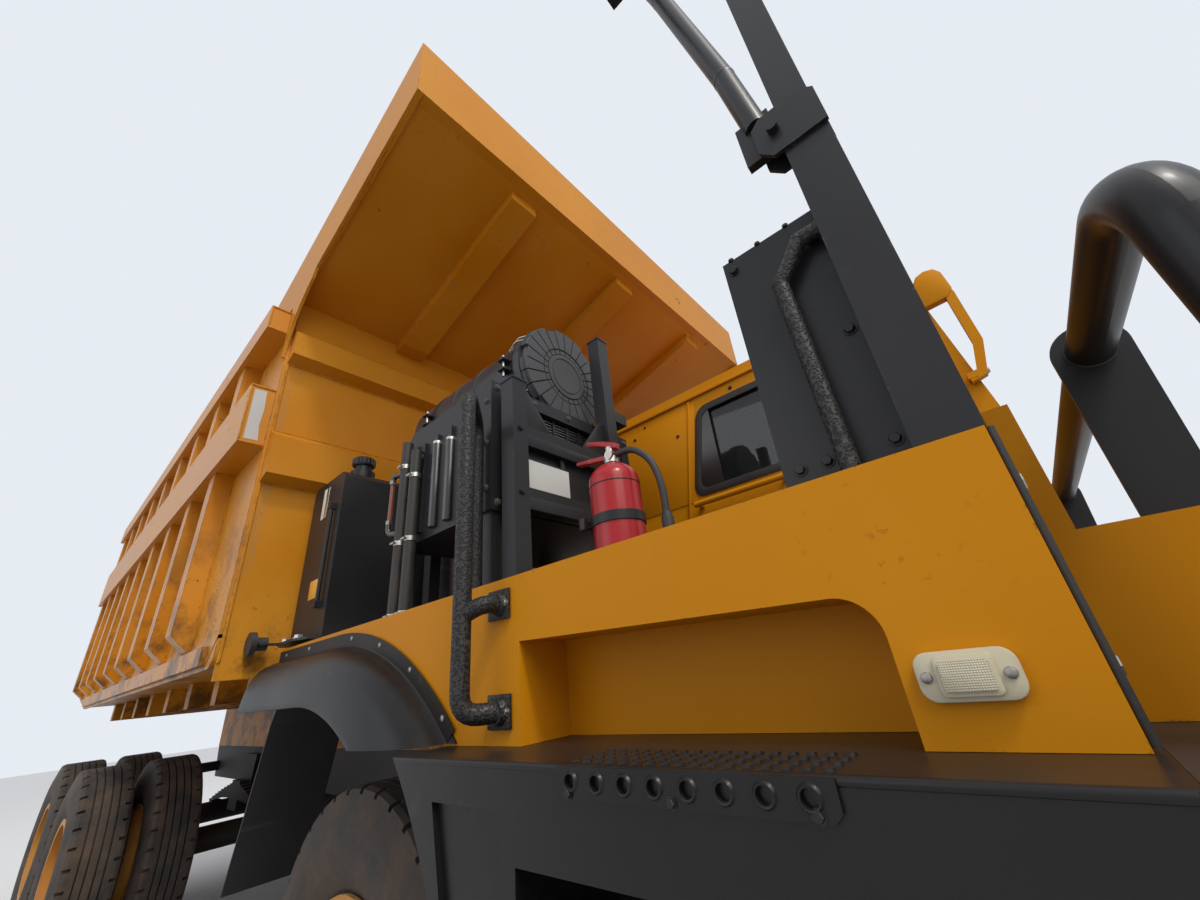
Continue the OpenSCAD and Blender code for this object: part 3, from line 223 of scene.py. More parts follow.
class Effects:
    """The surface effects that several finishes share, each a node group."""

    def __init__(self) -> None:
        """Builds every shared group once."""
        self.edges = self._worn_edges()
        self.dust = self._settled_dust()
        self.runs = self._rain_runs()
        self.blotches = self._blotches()
        self.scratches = self._scratches()
        self.peel = self._paint_peel()
        self.grime = self._low_grime()

    def _worn_edges(self) -> bpy.types.NodeTree:
        """A mask along sharp edges, broken up by noise."""
        tree, given, out = new_group("Worn edges", {"Width": 0.004, "Amount": 0.5, "Breakup": 30.0})
        bevel = tree.add("ShaderNodeBevel", {"Radius": given["Width"]}, samples=4).outputs[0]
        plain = tree.add("ShaderNodeNewGeometry").outputs["Normal"]
        dot = tree.add("ShaderNodeVectorMath", {0: bevel, 1: plain}, operation="DOT_PRODUCT")
        bend = tree.ramp(tree.math("SUBTRACT", 1.0, dot.outputs["Value"]), 0.01, 0.12)
        limit = tree.math("SUBTRACT", 1.0, given["Amount"])
        broken = tree.rise(tree.noise(tree.place(), given["Breakup"], 5.0, 0.7), limit, 0.08)
        tree.put(out["Mask"], tree.math("MULTIPLY", bend, broken))
        return tree.tree

    def _settled_dust(self) -> bpy.types.NodeTree:
        """Dust that lies on faces that look up, thicker in patches."""
        tree, given, out = new_group("Settled dust", {"Amount": 0.5, "Scale": 3.0, "All over": 0.1})
        normal = tree.add("ShaderNodeNewGeometry").outputs["Normal"]
        total = tree.math("ADD", tree.ramp(tree.upward(normal), 0.2, 1.0), given["All over"])
        patch = tree.ramp(tree.noise(tree.place(), given["Scale"], 6.0, 0.65), 0.3, 0.75)
        total = tree.math("MULTIPLY", total, patch)
        tree.put(out["Mask"], tree.math("MULTIPLY", total, given["Amount"], clamp=True))
        return tree.tree

    def _rain_runs(self) -> bpy.types.NodeTree:
        """Streaks that run down with the rain."""
        tree, given, out = new_group("Rain runs", {"Amount": 0.5, "Scale": 12.0})
        place = tree.place()
        long = tree.add("ShaderNodeMapping", {"Vector": place, "Scale": (1.0, 1.0, 0.06)}).outputs[0]
        limit = tree.math("SUBTRACT", 0.85, tree.math("MULTIPLY", given["Amount"], 0.4))
        streak = tree.rise(tree.noise(long, given["Scale"], 5.0, 0.6), limit, 0.12)
        wide = tree.ramp(tree.noise(place, 1.1, 3.0), 0.4, 0.65)
        tree.put(out["Mask"], tree.math("MULTIPLY", streak, wide))
        return tree.tree

    def _blotches(self) -> bpy.types.NodeTree:
        """Slow changes of shade, coarse spots with ragged borders, and fine flecks."""
        names = ("Shade", "Spots", "Flecks")
        tree, given, out = new_group("Blotches", {"Scale": 1.5, "Spots": 0.3}, names)
        place = tree.place()
        slow = tree.noise(place, given["Scale"], 3.0, 0.5)
        tree.put(out["Shade"], slow)
        limit = tree.math("SUBTRACT", 0.78, tree.math("MULTIPLY", given["Spots"], 0.3))
        tree.put(out["Spots"], tree.rise(tree.noise(place, 7.0, 10.0, 0.72), limit, 0.03))
        fine = tree.ramp(tree.noise(place, 46.0, 3.0, 0.6), 0.66, 0.69)
        tree.put(out["Flecks"], tree.math("MULTIPLY", fine, tree.ramp(slow, 0.48, 0.6)))
        return tree.tree

    def _low_grime(self) -> bpy.types.NodeTree:
        """Mud and rust that grow thicker towards the bottom of a piece."""
        tree, given, out = new_group("Low grime", {"Bottom": 1.6, "Top": 2.5, "Amount": 0.5})
        place = tree.place()
        low = tree.ramp(tree.upward(place), given["Top"], given["Bottom"])
        ragged = tree.ramp(tree.noise(place, 4.5, 9.0, 0.68), 0.46, 0.60)
        tree.put(out["Mask"], tree.math("MULTIPLY", tree.math("MULTIPLY", low, ragged), given["Amount"]))
        return tree.tree

    def _scratches(self) -> bpy.types.NodeTree:
        """Thin scuffs in two directions."""
        tree, given, out = new_group("Scratches", {"Amount": 0.4, "Scale": 20.0})
        place = tree.place()
        masks = []
        for angle, stretch in ((0.5, 0.04), (-0.9, 0.07)):
            turned = tree.add("ShaderNodeMapping", {"Vector": place, "Rotation": (angle, angle * 0.7, angle),
                                                    "Scale": (1.0, stretch, 1.0)}).outputs[0]
            masks.append(tree.ramp(tree.noise(turned, given["Scale"], 2.0, 0.5), 0.70, 0.74))
        both = tree.math("MAXIMUM", masks[0], masks[1])
        tree.put(out["Mask"], tree.math("MULTIPLY", both, given["Amount"]))
        return tree.tree

    def _paint_peel(self) -> bpy.types.NodeTree:
        """The low waves and grain of sprayed paint, as a height."""
        tree, given, out = new_group("Paint peel", {"Grain": 220.0, "Waves": 9.0}, ("Height",))
        place = tree.place()
        grain = tree.noise(place, given["Grain"], 2.0, 0.5)
        waves = tree.noise(place, given["Waves"], 1.0, 0.5)
        tree.put(out["Height"], tree.scaled(waves, 3.0, grain))
        return tree.tree


def new_material(name: str) -> tuple[bpy.types.Material, Tree, Any]:
    """Starts a material on a Principled BSDF.

    Args:
        name: The finish's name.

    Returns:
        The material, its tree with short calls, and the shader's inputs.
    """
    material = bpy.data.materials.new(name)
    material.use_nodes = True
    return material, Tree(material.node_tree), material.node_tree.nodes["Principled BSDF"].inputs


@dataclass(frozen=True)
class Paint:
    """A sprayed finish with dirt, runs, chips and dust.

    Attributes:
        name: The finish's name.
        colour: Fresh paint.
        faded: Paint bleached by the sun.
        under: What shows where the paint has chipped away.
        dirt: Colour of dust and mud.
        rough: Roughness of clean paint.
        chips: How much of the sharp edges is bare.
        spots: How much of the surface is chipped in spots.
        runs: How strong the rain runs are.
        dusty: How much dust lies on top.
        coat: Strength of the clear gloss.
        grain: Height of the paint's orange peel.
        gloss: Strength of the plain reflection.
        flecks: How many fine flecks have come off.
        grime: Lowest and highest point of the grime at the foot, and its strength.
    """

    name: str
    colour: Colour
    faded: Colour
    under: Colour = (0.10, 0.035, 0.015)
    dirt: Colour = (0.30, 0.20, 0.12)
    rough: float = 0.42
    chips: float = 0.42
    spots: float = 0.2
    runs: float = 0.4
    dusty: float = 0.35
    coat: float = 0.15
    grain: float = 0.06
    gloss: float = 0.35
    flecks: float = 0.0
    grime: tuple[float, float, float] = (0.0, 1.0, 0.0)

    def build(self, effects: Effects) -> bpy.types.Material:
        """Makes the material.

        Args:
            effects: The shared node groups.

        Returns:
            The material, ready for a slot.
        """
        material, tree, shader = new_material(self.name)
        blotch = tree.group(effects.blotches, {"Scale": 1.3, "Spots": self.spots}).outputs
        edge = tree.mask(effects.edges, {"Width": 0.006, "Amount": self.chips, "Breakup": 26.0})
        runs = tree.mask(effects.runs, {"Amount": self.runs, "Scale": 14.0})
        dust = tree.mask(effects.dust, {"Amount": self.dusty, "Scale": 2.5, "All over": 0.18})
        marks = tree.mask(effects.scratches, {"Amount": 0.35, "Scale": 16.0})
        peel = tree.group(effects.peel, {"Grain": 260.0, "Waves": 7.0}).outputs["Height"]
        colour = tree.mix(tree.ramp(blotch["Shade"], 0.35, 0.68), self.colour, self.faded)
        colour = tree.mix(tree.math("MULTIPLY", runs, 0.55), colour, self.dirt)
        colour = tree.mix(marks, colour, self.faded)
        bare = tree.math("MAXIMUM", edge, blotch["Spots"])
        if self.flecks:
            bare = tree.math("MAXIMUM", bare, tree.math("MULTIPLY", blotch["Flecks"], self.flecks))
        colour = tree.mix(bare, colour, self.under)
        if self.grime[2]:
            bottom, top, amount = self.grime
            low = tree.mask(effects.grime, {"Bottom": bottom, "Top": top, "Amount": amount})
            colour = tree.mix(low, colour, GRIME)
        tree.put(shader["Base Color"], tree.mix(dust, colour, self.dirt))
        rough = tree.scaled(blotch["Shade"], 0.2, self.rough - 0.1)
        rough = tree.scaled(bare, 0.35, rough)
        tree.put(shader["Roughness"], tree.scaled(dust, 0.5, rough, clamp=True))
        sunk = tree.math("SUBTRACT", tree.math("MULTIPLY", peel, self.grain), bare)
        tree.bump(shader["Normal"], sunk, 0.25, 0.002)
        shader["Specular IOR Level"].default_value = self.gloss
        shader["Coat Weight"].default_value = self.coat
        shader["Coat Roughness"].default_value = 0.18
        return material


@dataclass(frozen=True)
class Rubber:
    """Tyre and hose rubber with a film of dust.

    Attributes:
        name: The finish's name.
        colour: Clean rubber.
        dirt: Colour of the dust in the grooves.
        dusty: Share of the surface under dust.
        rough: Roughness of clean rubber.
    """

    name: str
    colour: Colour = (0.018, 0.017, 0.016)
    dirt: Colour = (0.19, 0.12, 0.075)
    dusty: float = 0.5
    rough: float = 0.75

    def build(self, effects: Effects) -> bpy.types.Material:
        """Makes the material.

        Args:
            effects: The shared node groups; not used.

        Returns:
            The material, ready for a slot.
        """
        material, tree, shader = new_material(self.name)
        place = tree.place()
        film = tree.ramp(tree.noise(place, 6.0, 8.0, 0.7), 0.38, 0.68)
        fine = tree.noise(place, 160.0, 3.0, 0.6)
        colour = tree.mix(tree.ramp(fine, 0.3, 0.8), self.colour, lighter(self.colour, 1.9))
        share = tree.math("MULTIPLY", film, self.dusty)
        tree.put(shader["Base Color"], tree.mix(share, colour, self.dirt))
        tree.put(shader["Roughness"], tree.scaled(film, 0.15, self.rough))
        tree.bump(shader["Normal"], fine, 0.35, 0.001)
        return material


@dataclass(frozen=True)
class Moulding:
    """Moulded plastic, smooth or grained.

    Attributes:
        name: The finish's name.
        colour: The plastic's colour.
        rough: Roughness.
        grain: Grains in each metre, and 0 for none.
        scuffs: Strength of scuff marks.
        dusty: How much dust lies on it.
        gloss: Strength of the plain reflection.
    """

    name: str
    colour: Colour
    rough: float = 0.4
    grain: float = 300.0
    scuffs: float = 0.4
    dusty: float = 0.3
    gloss: float = 0.35

    def build(self, effects: Effects) -> bpy.types.Material:
        """Makes the material.

        Args:
            effects: The shared node groups.

        Returns:
            The material, ready for a slot.
        """
        material, tree, shader = new_material(self.name)
        marks = tree.mask(effects.scratches, {"Amount": self.scuffs, "Scale": 11.0})
        dust = tree.mask(effects.dust, {"Amount": self.dusty, "Scale": 4.0, "All over": 0.25})
        shade = tree.group(effects.blotches, {"Scale": 3.0, "Spots": 0.0}).outputs["Shade"]
        peel = tree.group(effects.peel, {"Grain": self.grain, "Waves": 12.0}).outputs["Height"]
        colour = tree.mix(marks, self.colour, lighter(self.colour, 2.2, 0.03))
        tree.put(shader["Base Color"], tree.mix(dust, colour, (0.26, 0.20, 0.15)))
        rough = tree.scaled(shade, 0.25, self.rough - 0.12)
        tree.put(shader["Roughness"], tree.scaled(dust, 0.5, rough, clamp=True))
        tree.bump(shader["Normal"], peel, 0.2, 0.001)
        shader["Specular IOR Level"].default_value = self.gloss
        return material


@dataclass(frozen=True)
class Knurl:
    """Thick dimpled coating on a hand hold.

    Attributes:
        name: The finish's name.
        cell: Dimples in each metre.
    """

    name: str
    cell: float = 165.0

    def build(self, effects: Effects) -> bpy.types.Material:
        """Makes the material.

        Args:
            effects: The shared node groups.

        Returns:
            The material, ready for a slot.
        """
        material, tree, shader = new_material(self.name)
        cells = tree.add("ShaderNodeTexVoronoi", {"Vector": tree.place(), "Scale": self.cell})
        away = cells.outputs["Distance"]
        marks = tree.mask(effects.scratches, {"Amount": 0.12, "Scale": 24.0})
        worn = tree.math("MULTIPLY", tree.ramp(away, 0.52, 0.64), 0.5)
        colour = tree.mix(worn, (0.010, 0.010, 0.011), (0.070, 0.064, 0.058))
        tree.put(shader["Base Color"], tree.mix(marks, colour, (0.2, 0.18, 0.16)))
        tree.put(shader["Roughness"], tree.math("SUBTRACT", 0.55, tree.math("MULTIPLY", worn, 0.3)))
        shader["Specular IOR Level"].default_value = 0.3
        tree.bump(shader["Normal"], tree.ramp(away, 0.1, 0.55), 0.4, 0.003)
        return material


@dataclass(frozen=True)
class Metal:
    """Bare or plated metal.

    Attributes:
        name: The finish's name.
        colour: The metal's colour.
        rough: Roughness.
        rust: Share under rust.
    """

    name: str
    colour: Colour
    rough: float = 0.3
    rust: float = 0.2

    def build(self, effects: Effects) -> bpy.types.Material:
        """Makes the material.

        Args:
            effects: The shared node groups.

        Returns:
            The material, ready for a slot.
        """
        material, tree, shader = new_material(self.name)
        rust = tree.group(effects.blotches, {"Scale": 8.0, "Spots": self.rust}).outputs["Spots"]
        marks = tree.mask(effects.scratches, {"Amount": 0.3, "Scale": 30.0})
        tree.put(shader["Base Color"], tree.mix(rust, self.colour, (0.13, 0.05, 0.02)))
        tree.put(shader["Metallic"], tree.math("SUBTRACT", 1.0, rust))
        rough = tree.scaled(rust, 0.5, self.rough)
        tree.put(shader["Roughness"], tree.math("ADD", rough, marks, clamp=True))
        return material


@dataclass(frozen=True)
class Glazing:
    """Tinted glass with a film of dust.

    Attributes:
        name: The finish's name.
        tint: The glass's colour.
    """

    name: str
    tint: Colour = (0.12, 0.135, 0.145)

    def build(self, effects: Effects) -> bpy.types.Material:
        """Makes the material.

        Args:
            effects: The shared node groups; not used.

        Returns:
            The material, ready for a slot.
        """
        material, tree, shader = new_material(self.name)
        film = tree.ramp(tree.noise(tree.place(), 5.0, 7.0, 0.65), 0.35, 0.8)
        tree.put(shader["Base Color"], as_rgba(self.tint))
        tree.put(shader["Roughness"], tree.math("MULTIPLY", film, 0.12))
        shader["Transmission Weight"].default_value = 0.9
        shader["IOR"].default_value = 1.45
        return material


@dataclass(frozen=True)
class Lens:
    """Ribbed lamp lens, yellowed by the sun.

    Attributes:
        name: The finish's name.
        colour: The lens's colour.
        pitch: Width of one rib.
        grid: Whether ribs cross both ways.
    """

    name: str
    colour: Colour
    pitch: float = 0.010
    grid: bool = False

    def build(self, effects: Effects) -> bpy.types.Material:
        """Makes the material.

        Args:
            effects: The shared node groups.

        Returns:
            The material, ready for a slot.
        """
        material, tree, shader = new_material(self.name)
        sockets = {"Vector": tree.place(), "Scale": math.pi / (10.0 * self.pitch), "Distortion": 0.0}
        ribs = [tree.add("ShaderNodeTexWave", sockets, bands_direction=way).outputs["Fac"]
                for way in (("X", "Z") if self.grid else ("X",))]
        wave = tree.math("MULTIPLY", ribs[0], ribs[-1])
        dust = tree.mask(effects.dust, {"Amount": 0.5, "Scale": 9.0, "All over": 0.4})
        shade = tree.mix(wave, lighter(self.colour, 0.6), self.colour)
        tree.put(shader["Base Color"], tree.mix(dust, shade, (0.35, 0.28, 0.2)))
        tree.put(shader["Roughness"], tree.math("ADD", dust, 0.16))
        tree.bump(shader["Normal"], wave, 0.5, 0.002)
        shader["Coat Weight"].default_value = 0.6
        return material


class Finishes:
    """Every finish on the truck, built once."""

    def __init__(self) -> None:
        """Builds the shared effects and each material."""
        effects = Effects()
        bed, bed_faded = (0.56, 0.205, 0.004), (0.63, 0.26, 0.018)
        self.panel_yellow = Paint("panel yellow", (0.60, 0.222, 0.003), (0.64, 0.255, 0.008), chips=0.40,
                                  spots=0.05, runs=0.3, dusty=0.05, rough=0.42, coat=0.0, gloss=0.10,
                                  flecks=0.25).build(effects)
        self.body_yellow = Paint("body yellow", bed, bed_faded, chips=0.5, spots=0.40, runs=0.6, dusty=0.16,
                                 rough=0.46, coat=0.04, gloss=0.18, flecks=0.5,
                                 grime=(1.6, 2.0, 0.8)).build(effects)
        self.side_yellow = Paint("body side yellow", bed, bed_faded, chips=0.55, spots=0.46, runs=0.7,
                                 dusty=0.20, rough=0.42, coat=0.15, gloss=0.28, flecks=1.0,
                                 grime=(1.6, 2.7, 0.95)).build(effects)
        self.wheel_yellow = Paint("wheel yellow", (0.55, 0.2, 0.012), (0.62, 0.29, 0.05), chips=0.5,
                                  spots=0.5, runs=0.3, dusty=0.9, rough=0.55).build(effects)
        self.black = Paint("black paint", (0.009, 0.0095, 0.011), (0.020, 0.020, 0.022), under=PRIMER,
                           dirt=(0.15, 0.12, 0.095), chips=0.42, spots=0.06, runs=0.25, dusty=0.22,
                           rough=0.42, coat=0.12, gloss=0.25).build(effects)
        self.frame_black = Paint("frame black", (0.018, 0.018, 0.019), (0.035, 0.034, 0.033),
                                 dirt=ROAD_DUST, chips=0.45, spots=0.25, runs=0.4, dusty=0.8, rough=0.6,
                                 coat=0.0).build(effects)
        self.iron = Paint("painted iron", (0.055, 0.056, 0.058), (0.09, 0.088, 0.085), dirt=ROAD_DUST,
                          chips=0.4, spots=0.3, dusty=0.8, rough=0.65, coat=0.0, grain=0.4).build(effects)
        self.red = Paint("extinguisher red", (0.36, 0.006, 0.012), (0.42, 0.02, 0.022),
                         under=(0.45, 0.44, 0.42), chips=0.4, spots=0.12, runs=0.15, dusty=0.10,
                         rough=0.30, coat=0.25, gloss=0.25).build(effects)
        self.gloss_black = Paint("gloss black", (0.012, 0.009, 0.008), (0.020, 0.015, 0.012), under=PRIMER,
                                 chips=0.3, spots=0.02, runs=0.2, dusty=0.1, rough=0.26, coat=0.5,
                                 gloss=0.5).build(effects)
        self.white_plate = Paint("white reflector", (0.52, 0.50, 0.46), (0.62, 0.60, 0.56),
                                 dirt=(0.32, 0.25, 0.18), chips=0.3, spots=0.2, rough=0.5,
                                 coat=0.1).build(effects)
        self.label = Paint("blank label", (0.72, 0.71, 0.66), (0.66, 0.64, 0.57),
                           dirt=(0.4, 0.33, 0.25), chips=0.2, spots=0.15, rough=0.6,
                           coat=0.0).build(effects)
        self.sticker = Paint("yellow sticker", (0.80, 0.36, 0.02), (0.84, 0.46, 0.09), chips=0.2,
                             spots=0.1, rough=0.4, coat=0.2).build(effects)
        self.copper = Paint("sight tube", (0.20, 0.050, 0.028), (0.26, 0.08, 0.05), chips=0.2,
                            spots=0.1, rough=0.3, coat=0.3).build(effects)
        self.flare = Moulding("arch moulding", (0.006, 0.0062, 0.0070), rough=0.34, scuffs=0.35,
                              grain=500.0, dusty=0.06, gloss=0.25).build(effects)
        self.fairing = Moulding("fairing moulding", (0.006, 0.006, 0.007), rough=0.32, scuffs=0.2,
                                dusty=0.07, gloss=0.3).build(effects)
        self.plastic = Moulding("black moulding", (0.024, 0.025, 0.027), rough=0.5,
                                dusty=0.2).build(effects)
        self.band = Moulding("arch band", (0.013, 0.009, 0.007), rough=0.45, dusty=0.08,
                             gloss=0.2).build(effects)
        self.drum = Moulding("cleaner drum", (0.030, 0.032, 0.037), rough=0.36, dusty=0.15,
                             gloss=0.4).build(effects)
        self.cap_grey = Moulding("cleaner cap", (0.062, 0.064, 0.068), rough=0.55,
                                 dusty=0.25).build(effects)
        self.white_bezel = Moulding("cream bezel", (0.60, 0.54, 0.38), rough=0.35,
                                    dusty=0.5).build(effects)
        self.trim = Moulding("cab trim", (0.04, 0.041, 0.044), rough=0.6, grain=420.0).build(effects)
        self.tyre = Rubber("tyre rubber").build(effects)
        self.hose = Rubber("hose rubber", (0.010, 0.0095, 0.009), dusty=0.10, rough=0.5).build(effects)
        self.knurl = Knurl("dimpled grip").build(effects)
        self.zinc = Metal("zinc plate", (0.50, 0.48, 0.44), 0.35, 0.3).build(effects)
        self.chrome = Metal("hard chrome", (0.72, 0.72, 0.74), 0.12, 0.0).build(effects)
        self.mirror = Metal("mirror glass", (0.85, 0.86, 0.88), 0.02, 0.0).build(effects)
        self.tape = Metal("reflective strip", (0.62, 0.62, 0.60), 0.25, 0.1).build(effects)
        self.bare_steel = Metal("worn steel", (0.28, 0.26, 0.24), 0.45, 0.6).build(effects)
        self.glass = Glazing("tinted glass").build(effects)
        self.clear_lens = Lens("cream lens", (0.80, 0.72, 0.50), 0.0026, True).build(effects)
        self.lamp_glass = Lens("ribbed lamp glass", (0.82, 0.80, 0.74), 0.012).build(effects)
        self.red_lens = Lens("red lens", (0.45, 0.01, 0.01), 0.006, True).build(effects)


# Mesh building


def frame_of(direction: Vector) -> tuple[Vector, Vector]:
    """Gives two unit vectors across a direction.

    Args:
        direction: The unit vector that both stand square to.

    Returns:
        The two vectors.
    """
    guide = Vector((0, 0, 1)) if abs(direction.z) < 0.9 else Vector((1, 0, 0))
    side = direction.cross(guide).normalized()
    return side, side.cross(direction).normalized()


def spokes(side: Vector, up: Vector, count: int) -> list[Vector]:
    """Gives unit vectors at even turns in the plane of two others.

    Args:
        side: Where the turn starts.
        up: A quarter turn on from it.
        count: How many vectors there are round the turn.

    Returns:
        The vectors.
    """
    turns = (2 * math.pi * i / count for i in range(count))
    return [side * math.cos(a) + up * math.sin(a) for a in turns]


def arc(centre: Flat, radius: float, start: float, end: float, steps: int) -> list[tuple[float, float]]:
    """Gives points on a circle between two angles in degrees."""
    turn = [math.radians(start + (end - start) * i / steps) for i in range(steps + 1)]
    return [(centre[0] + radius * math.cos(a), centre[1] + radius * math.sin(a)) for a in turn]


def round_rect(low: Flat, high: Flat, radius: float, steps: int = 5) -> list[tuple[float, float]]:
    """Gives the outline of a rectangle with round corners.

    Args:
        low: The lower corner.
        high: The upper corner.
        radius: Radius of the corners.
        steps: Edges on each corner.

    Returns:
        The outline's points.
    """
    (x0, z0), (x1, z1) = low, high
    corners = (((x1 - radius, z1 - radius), 0), ((x0 + radius, z1 - radius), 90),
               ((x0 + radius, z0 + radius), 180), ((x1 - radius, z0 + radius), 270))
    return [p for centre, angle in corners for p in arc(centre, radius, angle, angle + 90, steps)]


def rounded(points: Sequence[Point], radius: float, steps: int = 6) -> list[Vector]:
    """Rounds the corners of a path.

    Args:
        points: The corners, with both ends.
        radius: Bend radius at each corner, made smaller where a stretch is short.
        steps: Points on each bend.

    Returns:
        The points of the rounded path.
    """
    corners = [Vector(p) for p in points]
    path = [corners[0]]
    for before, here, after in zip(corners, corners[1:], corners[2:]):
        inward, outward = (before - here), (after - here)
        reach = min(radius, inward.length * 0.49, outward.length * 0.49)
        start, end = here + inward.normalized() * reach, here + outward.normalized() * reach
        for i in range(steps + 1):
            t = i / steps
            path.append(start * (1 - t) ** 2 + here * 2 * t * (1 - t) + end * t ** 2)
    path.append(corners[-1])
    return path


def new_object(name: str, data: bpy.types.ID) -> bpy.types.Object:
    """Makes an object from a mesh, a light or a camera, and puts it in the scene."""
    made = bpy.data.objects.new(name, data)
    bpy.context.scene.collection.objects.link(made)
    return made


class Shape:
    """Gathers simple solids in one mesh, each in the finish that is set at the time."""

    def __init__(self, name: str) -> None:
        """Starts an empty mesh.

        Args:
            name: The name of the piece.
        """
        self.name = name
        self.mesh = bmesh.new()
        self.finishes: list[bpy.types.Material] = []
        self.current = 0

    def use(self, finish: bpy.types.Material) -> "Shape":
        """Sets the finish of the solids that follow."""
        if finish not in self.finishes:
            self.finishes.append(finish)
        self.current = self.finishes.index(finish)
        return self

    def face(self, corners: Sequence[Any]) -> None:
        """Adds one face between vertices that exist."""
        made = self.mesh.faces.new(corners)
        made.material_index = self.current

    def loft(self, rings: Sequence[Sequence[Point]], closed: bool = False) -> None:
        """Joins rings of points that have the same number of points.

        Args:
            rings: The rings, in order.
            closed: Whether the last ring joins the first; if not, each end gets a face.
        """
        made = [[self.mesh.verts.new(p) for p in ring] for ring in rings]
        count = len(made[0])
        pairs = list(zip(made, made[1:])) + ([(made[-1], made[0])] if closed else [])
        for low, high in pairs:
            for i in range(count):
                self.face([low[i], low[(i + 1) % count], high[(i + 1) % count], high[i]])
        if not closed:
            self.face(list(reversed(made[0])))
            self.face(made[-1])

    def box(self, low: Point, high: Point, bevel: float = 0.0) -> None:
        """Adds a box.

        Args:
            low: Its lowest corner.
            high: Its highest corner.
            bevel: Width of the cut along every edge.
        """
        (x0, y0, z0), (x1, y1, z1) = low, high
        self.prism([(x0, y0), (x1, y0), (x1, y1), (x0, y1)], Axis.Z, z0, z1, bevel)

    def plate(self, low: Flat, high: Flat, radius: float, axis: Axis, start: float, end: float,
              bevel: float = 0.0) -> None:
        """Adds a plate with round corners.

        Args:
            low: The outline's lower corner in the plane across the axis.
            high: The outline's upper corner.
            radius: Radius of the corners.
            axis: The direction of the thickness.
            start: Where the plate starts along the axis.
            end: Where it ends.
            bevel: Width of the cut along every edge.
        """
        self.prism(round_rect(low, high, radius), axis, start, end, bevel)

    def prism(self, outline: Sequence[Flat], axis: Axis, start: float, end: float,
              bevel: float = 0.0) -> None:
        """Adds a flat outline with thickness.

        Args:
            outline: Corners in the plane across the axis, such as X and Z for axis Y.
            axis: The direction of the thickness.
            start: Where the piece starts along the axis.
            end: Where it ends.
            bevel: Width of the cut along every edge.
        """
        place = {Axis.X: lambda u, v, w: (w, u, v), Axis.Y: lambda u, v, w: (u, w, v),
                 Axis.Z: lambda u, v, w: (u, v, w)}[axis]
        fresh = bmesh.new()
        bottom = [fresh.verts.new(place(u, v, start)) for u, v in outline]
        top = [fresh.verts.new(place(u, v, end)) for u, v in outline]
        count = len(outline)
        fresh.faces.new(bottom)
        fresh.faces.new(top)
        for i in range(count):
            fresh.faces.new([bottom[i], bottom[(i + 1) % count], top[(i + 1) % count], top[i]])
        bmesh.ops.recalc_face_normals(fresh, faces=fresh.faces)
        if bevel:
            bmesh.ops.bevel(fresh, geom=list(fresh.edges), offset=bevel, segments=2, affect="EDGES",
                            profile=0.5, clamp_overlap=True)
        self.take(fresh)

    def take(self, other: bmesh.types.BMesh) -> None:
        """Moves another mesh's faces into this one, in the current finish."""
        known = {v: self.mesh.verts.new(v.co) for v in other.verts}
        for face in other.faces:
            self.face([known[v] for v in face.verts])
        other.free()

    def lathe(self, profile: Sequence[Flat], at: Point, axis: Point, steps: int = 48) -> None:
        """Turns a profile about an axis.

        Args:
            profile: Pairs of radius and place along the axis; a radius of zero closes an end.
            at: Where the axis starts.
            axis: The axis's direction.
            steps: Faces round the turn.
        """
        origin, along = Vector(at), Vector(axis).normalized()
        around = spokes(*frame_of(along), steps)
        rows = []
        for radius, place in profile:
            centre = origin + along * place
            points = [centre] if radius < TINY else [centre + spoke * radius for spoke in around]
            rows.append([self.mesh.verts.new(p) for p in points])
        for low, high in zip(rows, rows[1:]):
            for i in range(steps):
                j = (i + 1) % steps
                if len(low) == 1:
                    self.face([low[0], high[i], high[j]])
                elif len(high) == 1:
                    self.face([low[i], high[0], low[j]])
                else:
                    self.face([low[i], high[i], high[j], low[j]])
        for row in (rows[0], rows[-1]):
            if len(row) > 1:
                self.face(row)

    def hoop(self, profile: Sequence[Flat], at: Point, axis: Point, steps: int = 48) -> None:
        """Turns a closed profile about an axis to an open ring.

        Args:
            profile: Corners of the ring's section, as radius and place along the axis.
            at: Where the axis starts.
            axis: The axis's direction.
            steps: Faces round the turn.
        """
        origin, along = Vector(at), Vector(axis).normalized()
        self.loft([[origin + along * place + spoke * radius for radius, place in profile]
                   for spoke in spokes(*frame_of(along), steps)], closed=True)

    def sleeve(self, inner: float, outer: float, half: float, at: Point, axis: Point, steps: int) -> None:
        """Adds a flat band round an axis, such as a clamp.

        Args:
            inner: Its inner radius.
            outer: Its outer radius.
            half: Half its width.
            at: The band's middle.
            axis: The axis's direction.
            steps: Faces round the turn.
        """
        self.hoop([(inner, -half), (outer, -half), (outer, half), (inner, half)], at, axis, steps)

    def tube(self, points: Sequence[Point], radius: float, bend: float = 0.0, steps: int = 16) -> None:
        """Runs a round tube along a path.

        Args:
            points: The path's corners.
            radius: The tube's radius.
            bend: Bend radius at the corners; zero leaves them as they are.
            steps: Faces round the tube.
        """
        path = rounded(points, bend) if bend else [Vector(p) for p in points]
        side = frame_of((path[1] - path[0]).normalized())[0]
        rings = []
        for i, here in enumerate(path):
            ahead = path[min(i + 1, len(path) - 1)] - path[max(i - 1, 0)]
            ahead.normalize()
            side = (side - ahead * side.dot(ahead)).normalized()
            rings.append([here + spoke * radius for spoke in spokes(side, side.cross(ahead), steps)])
        self.loft(rings)

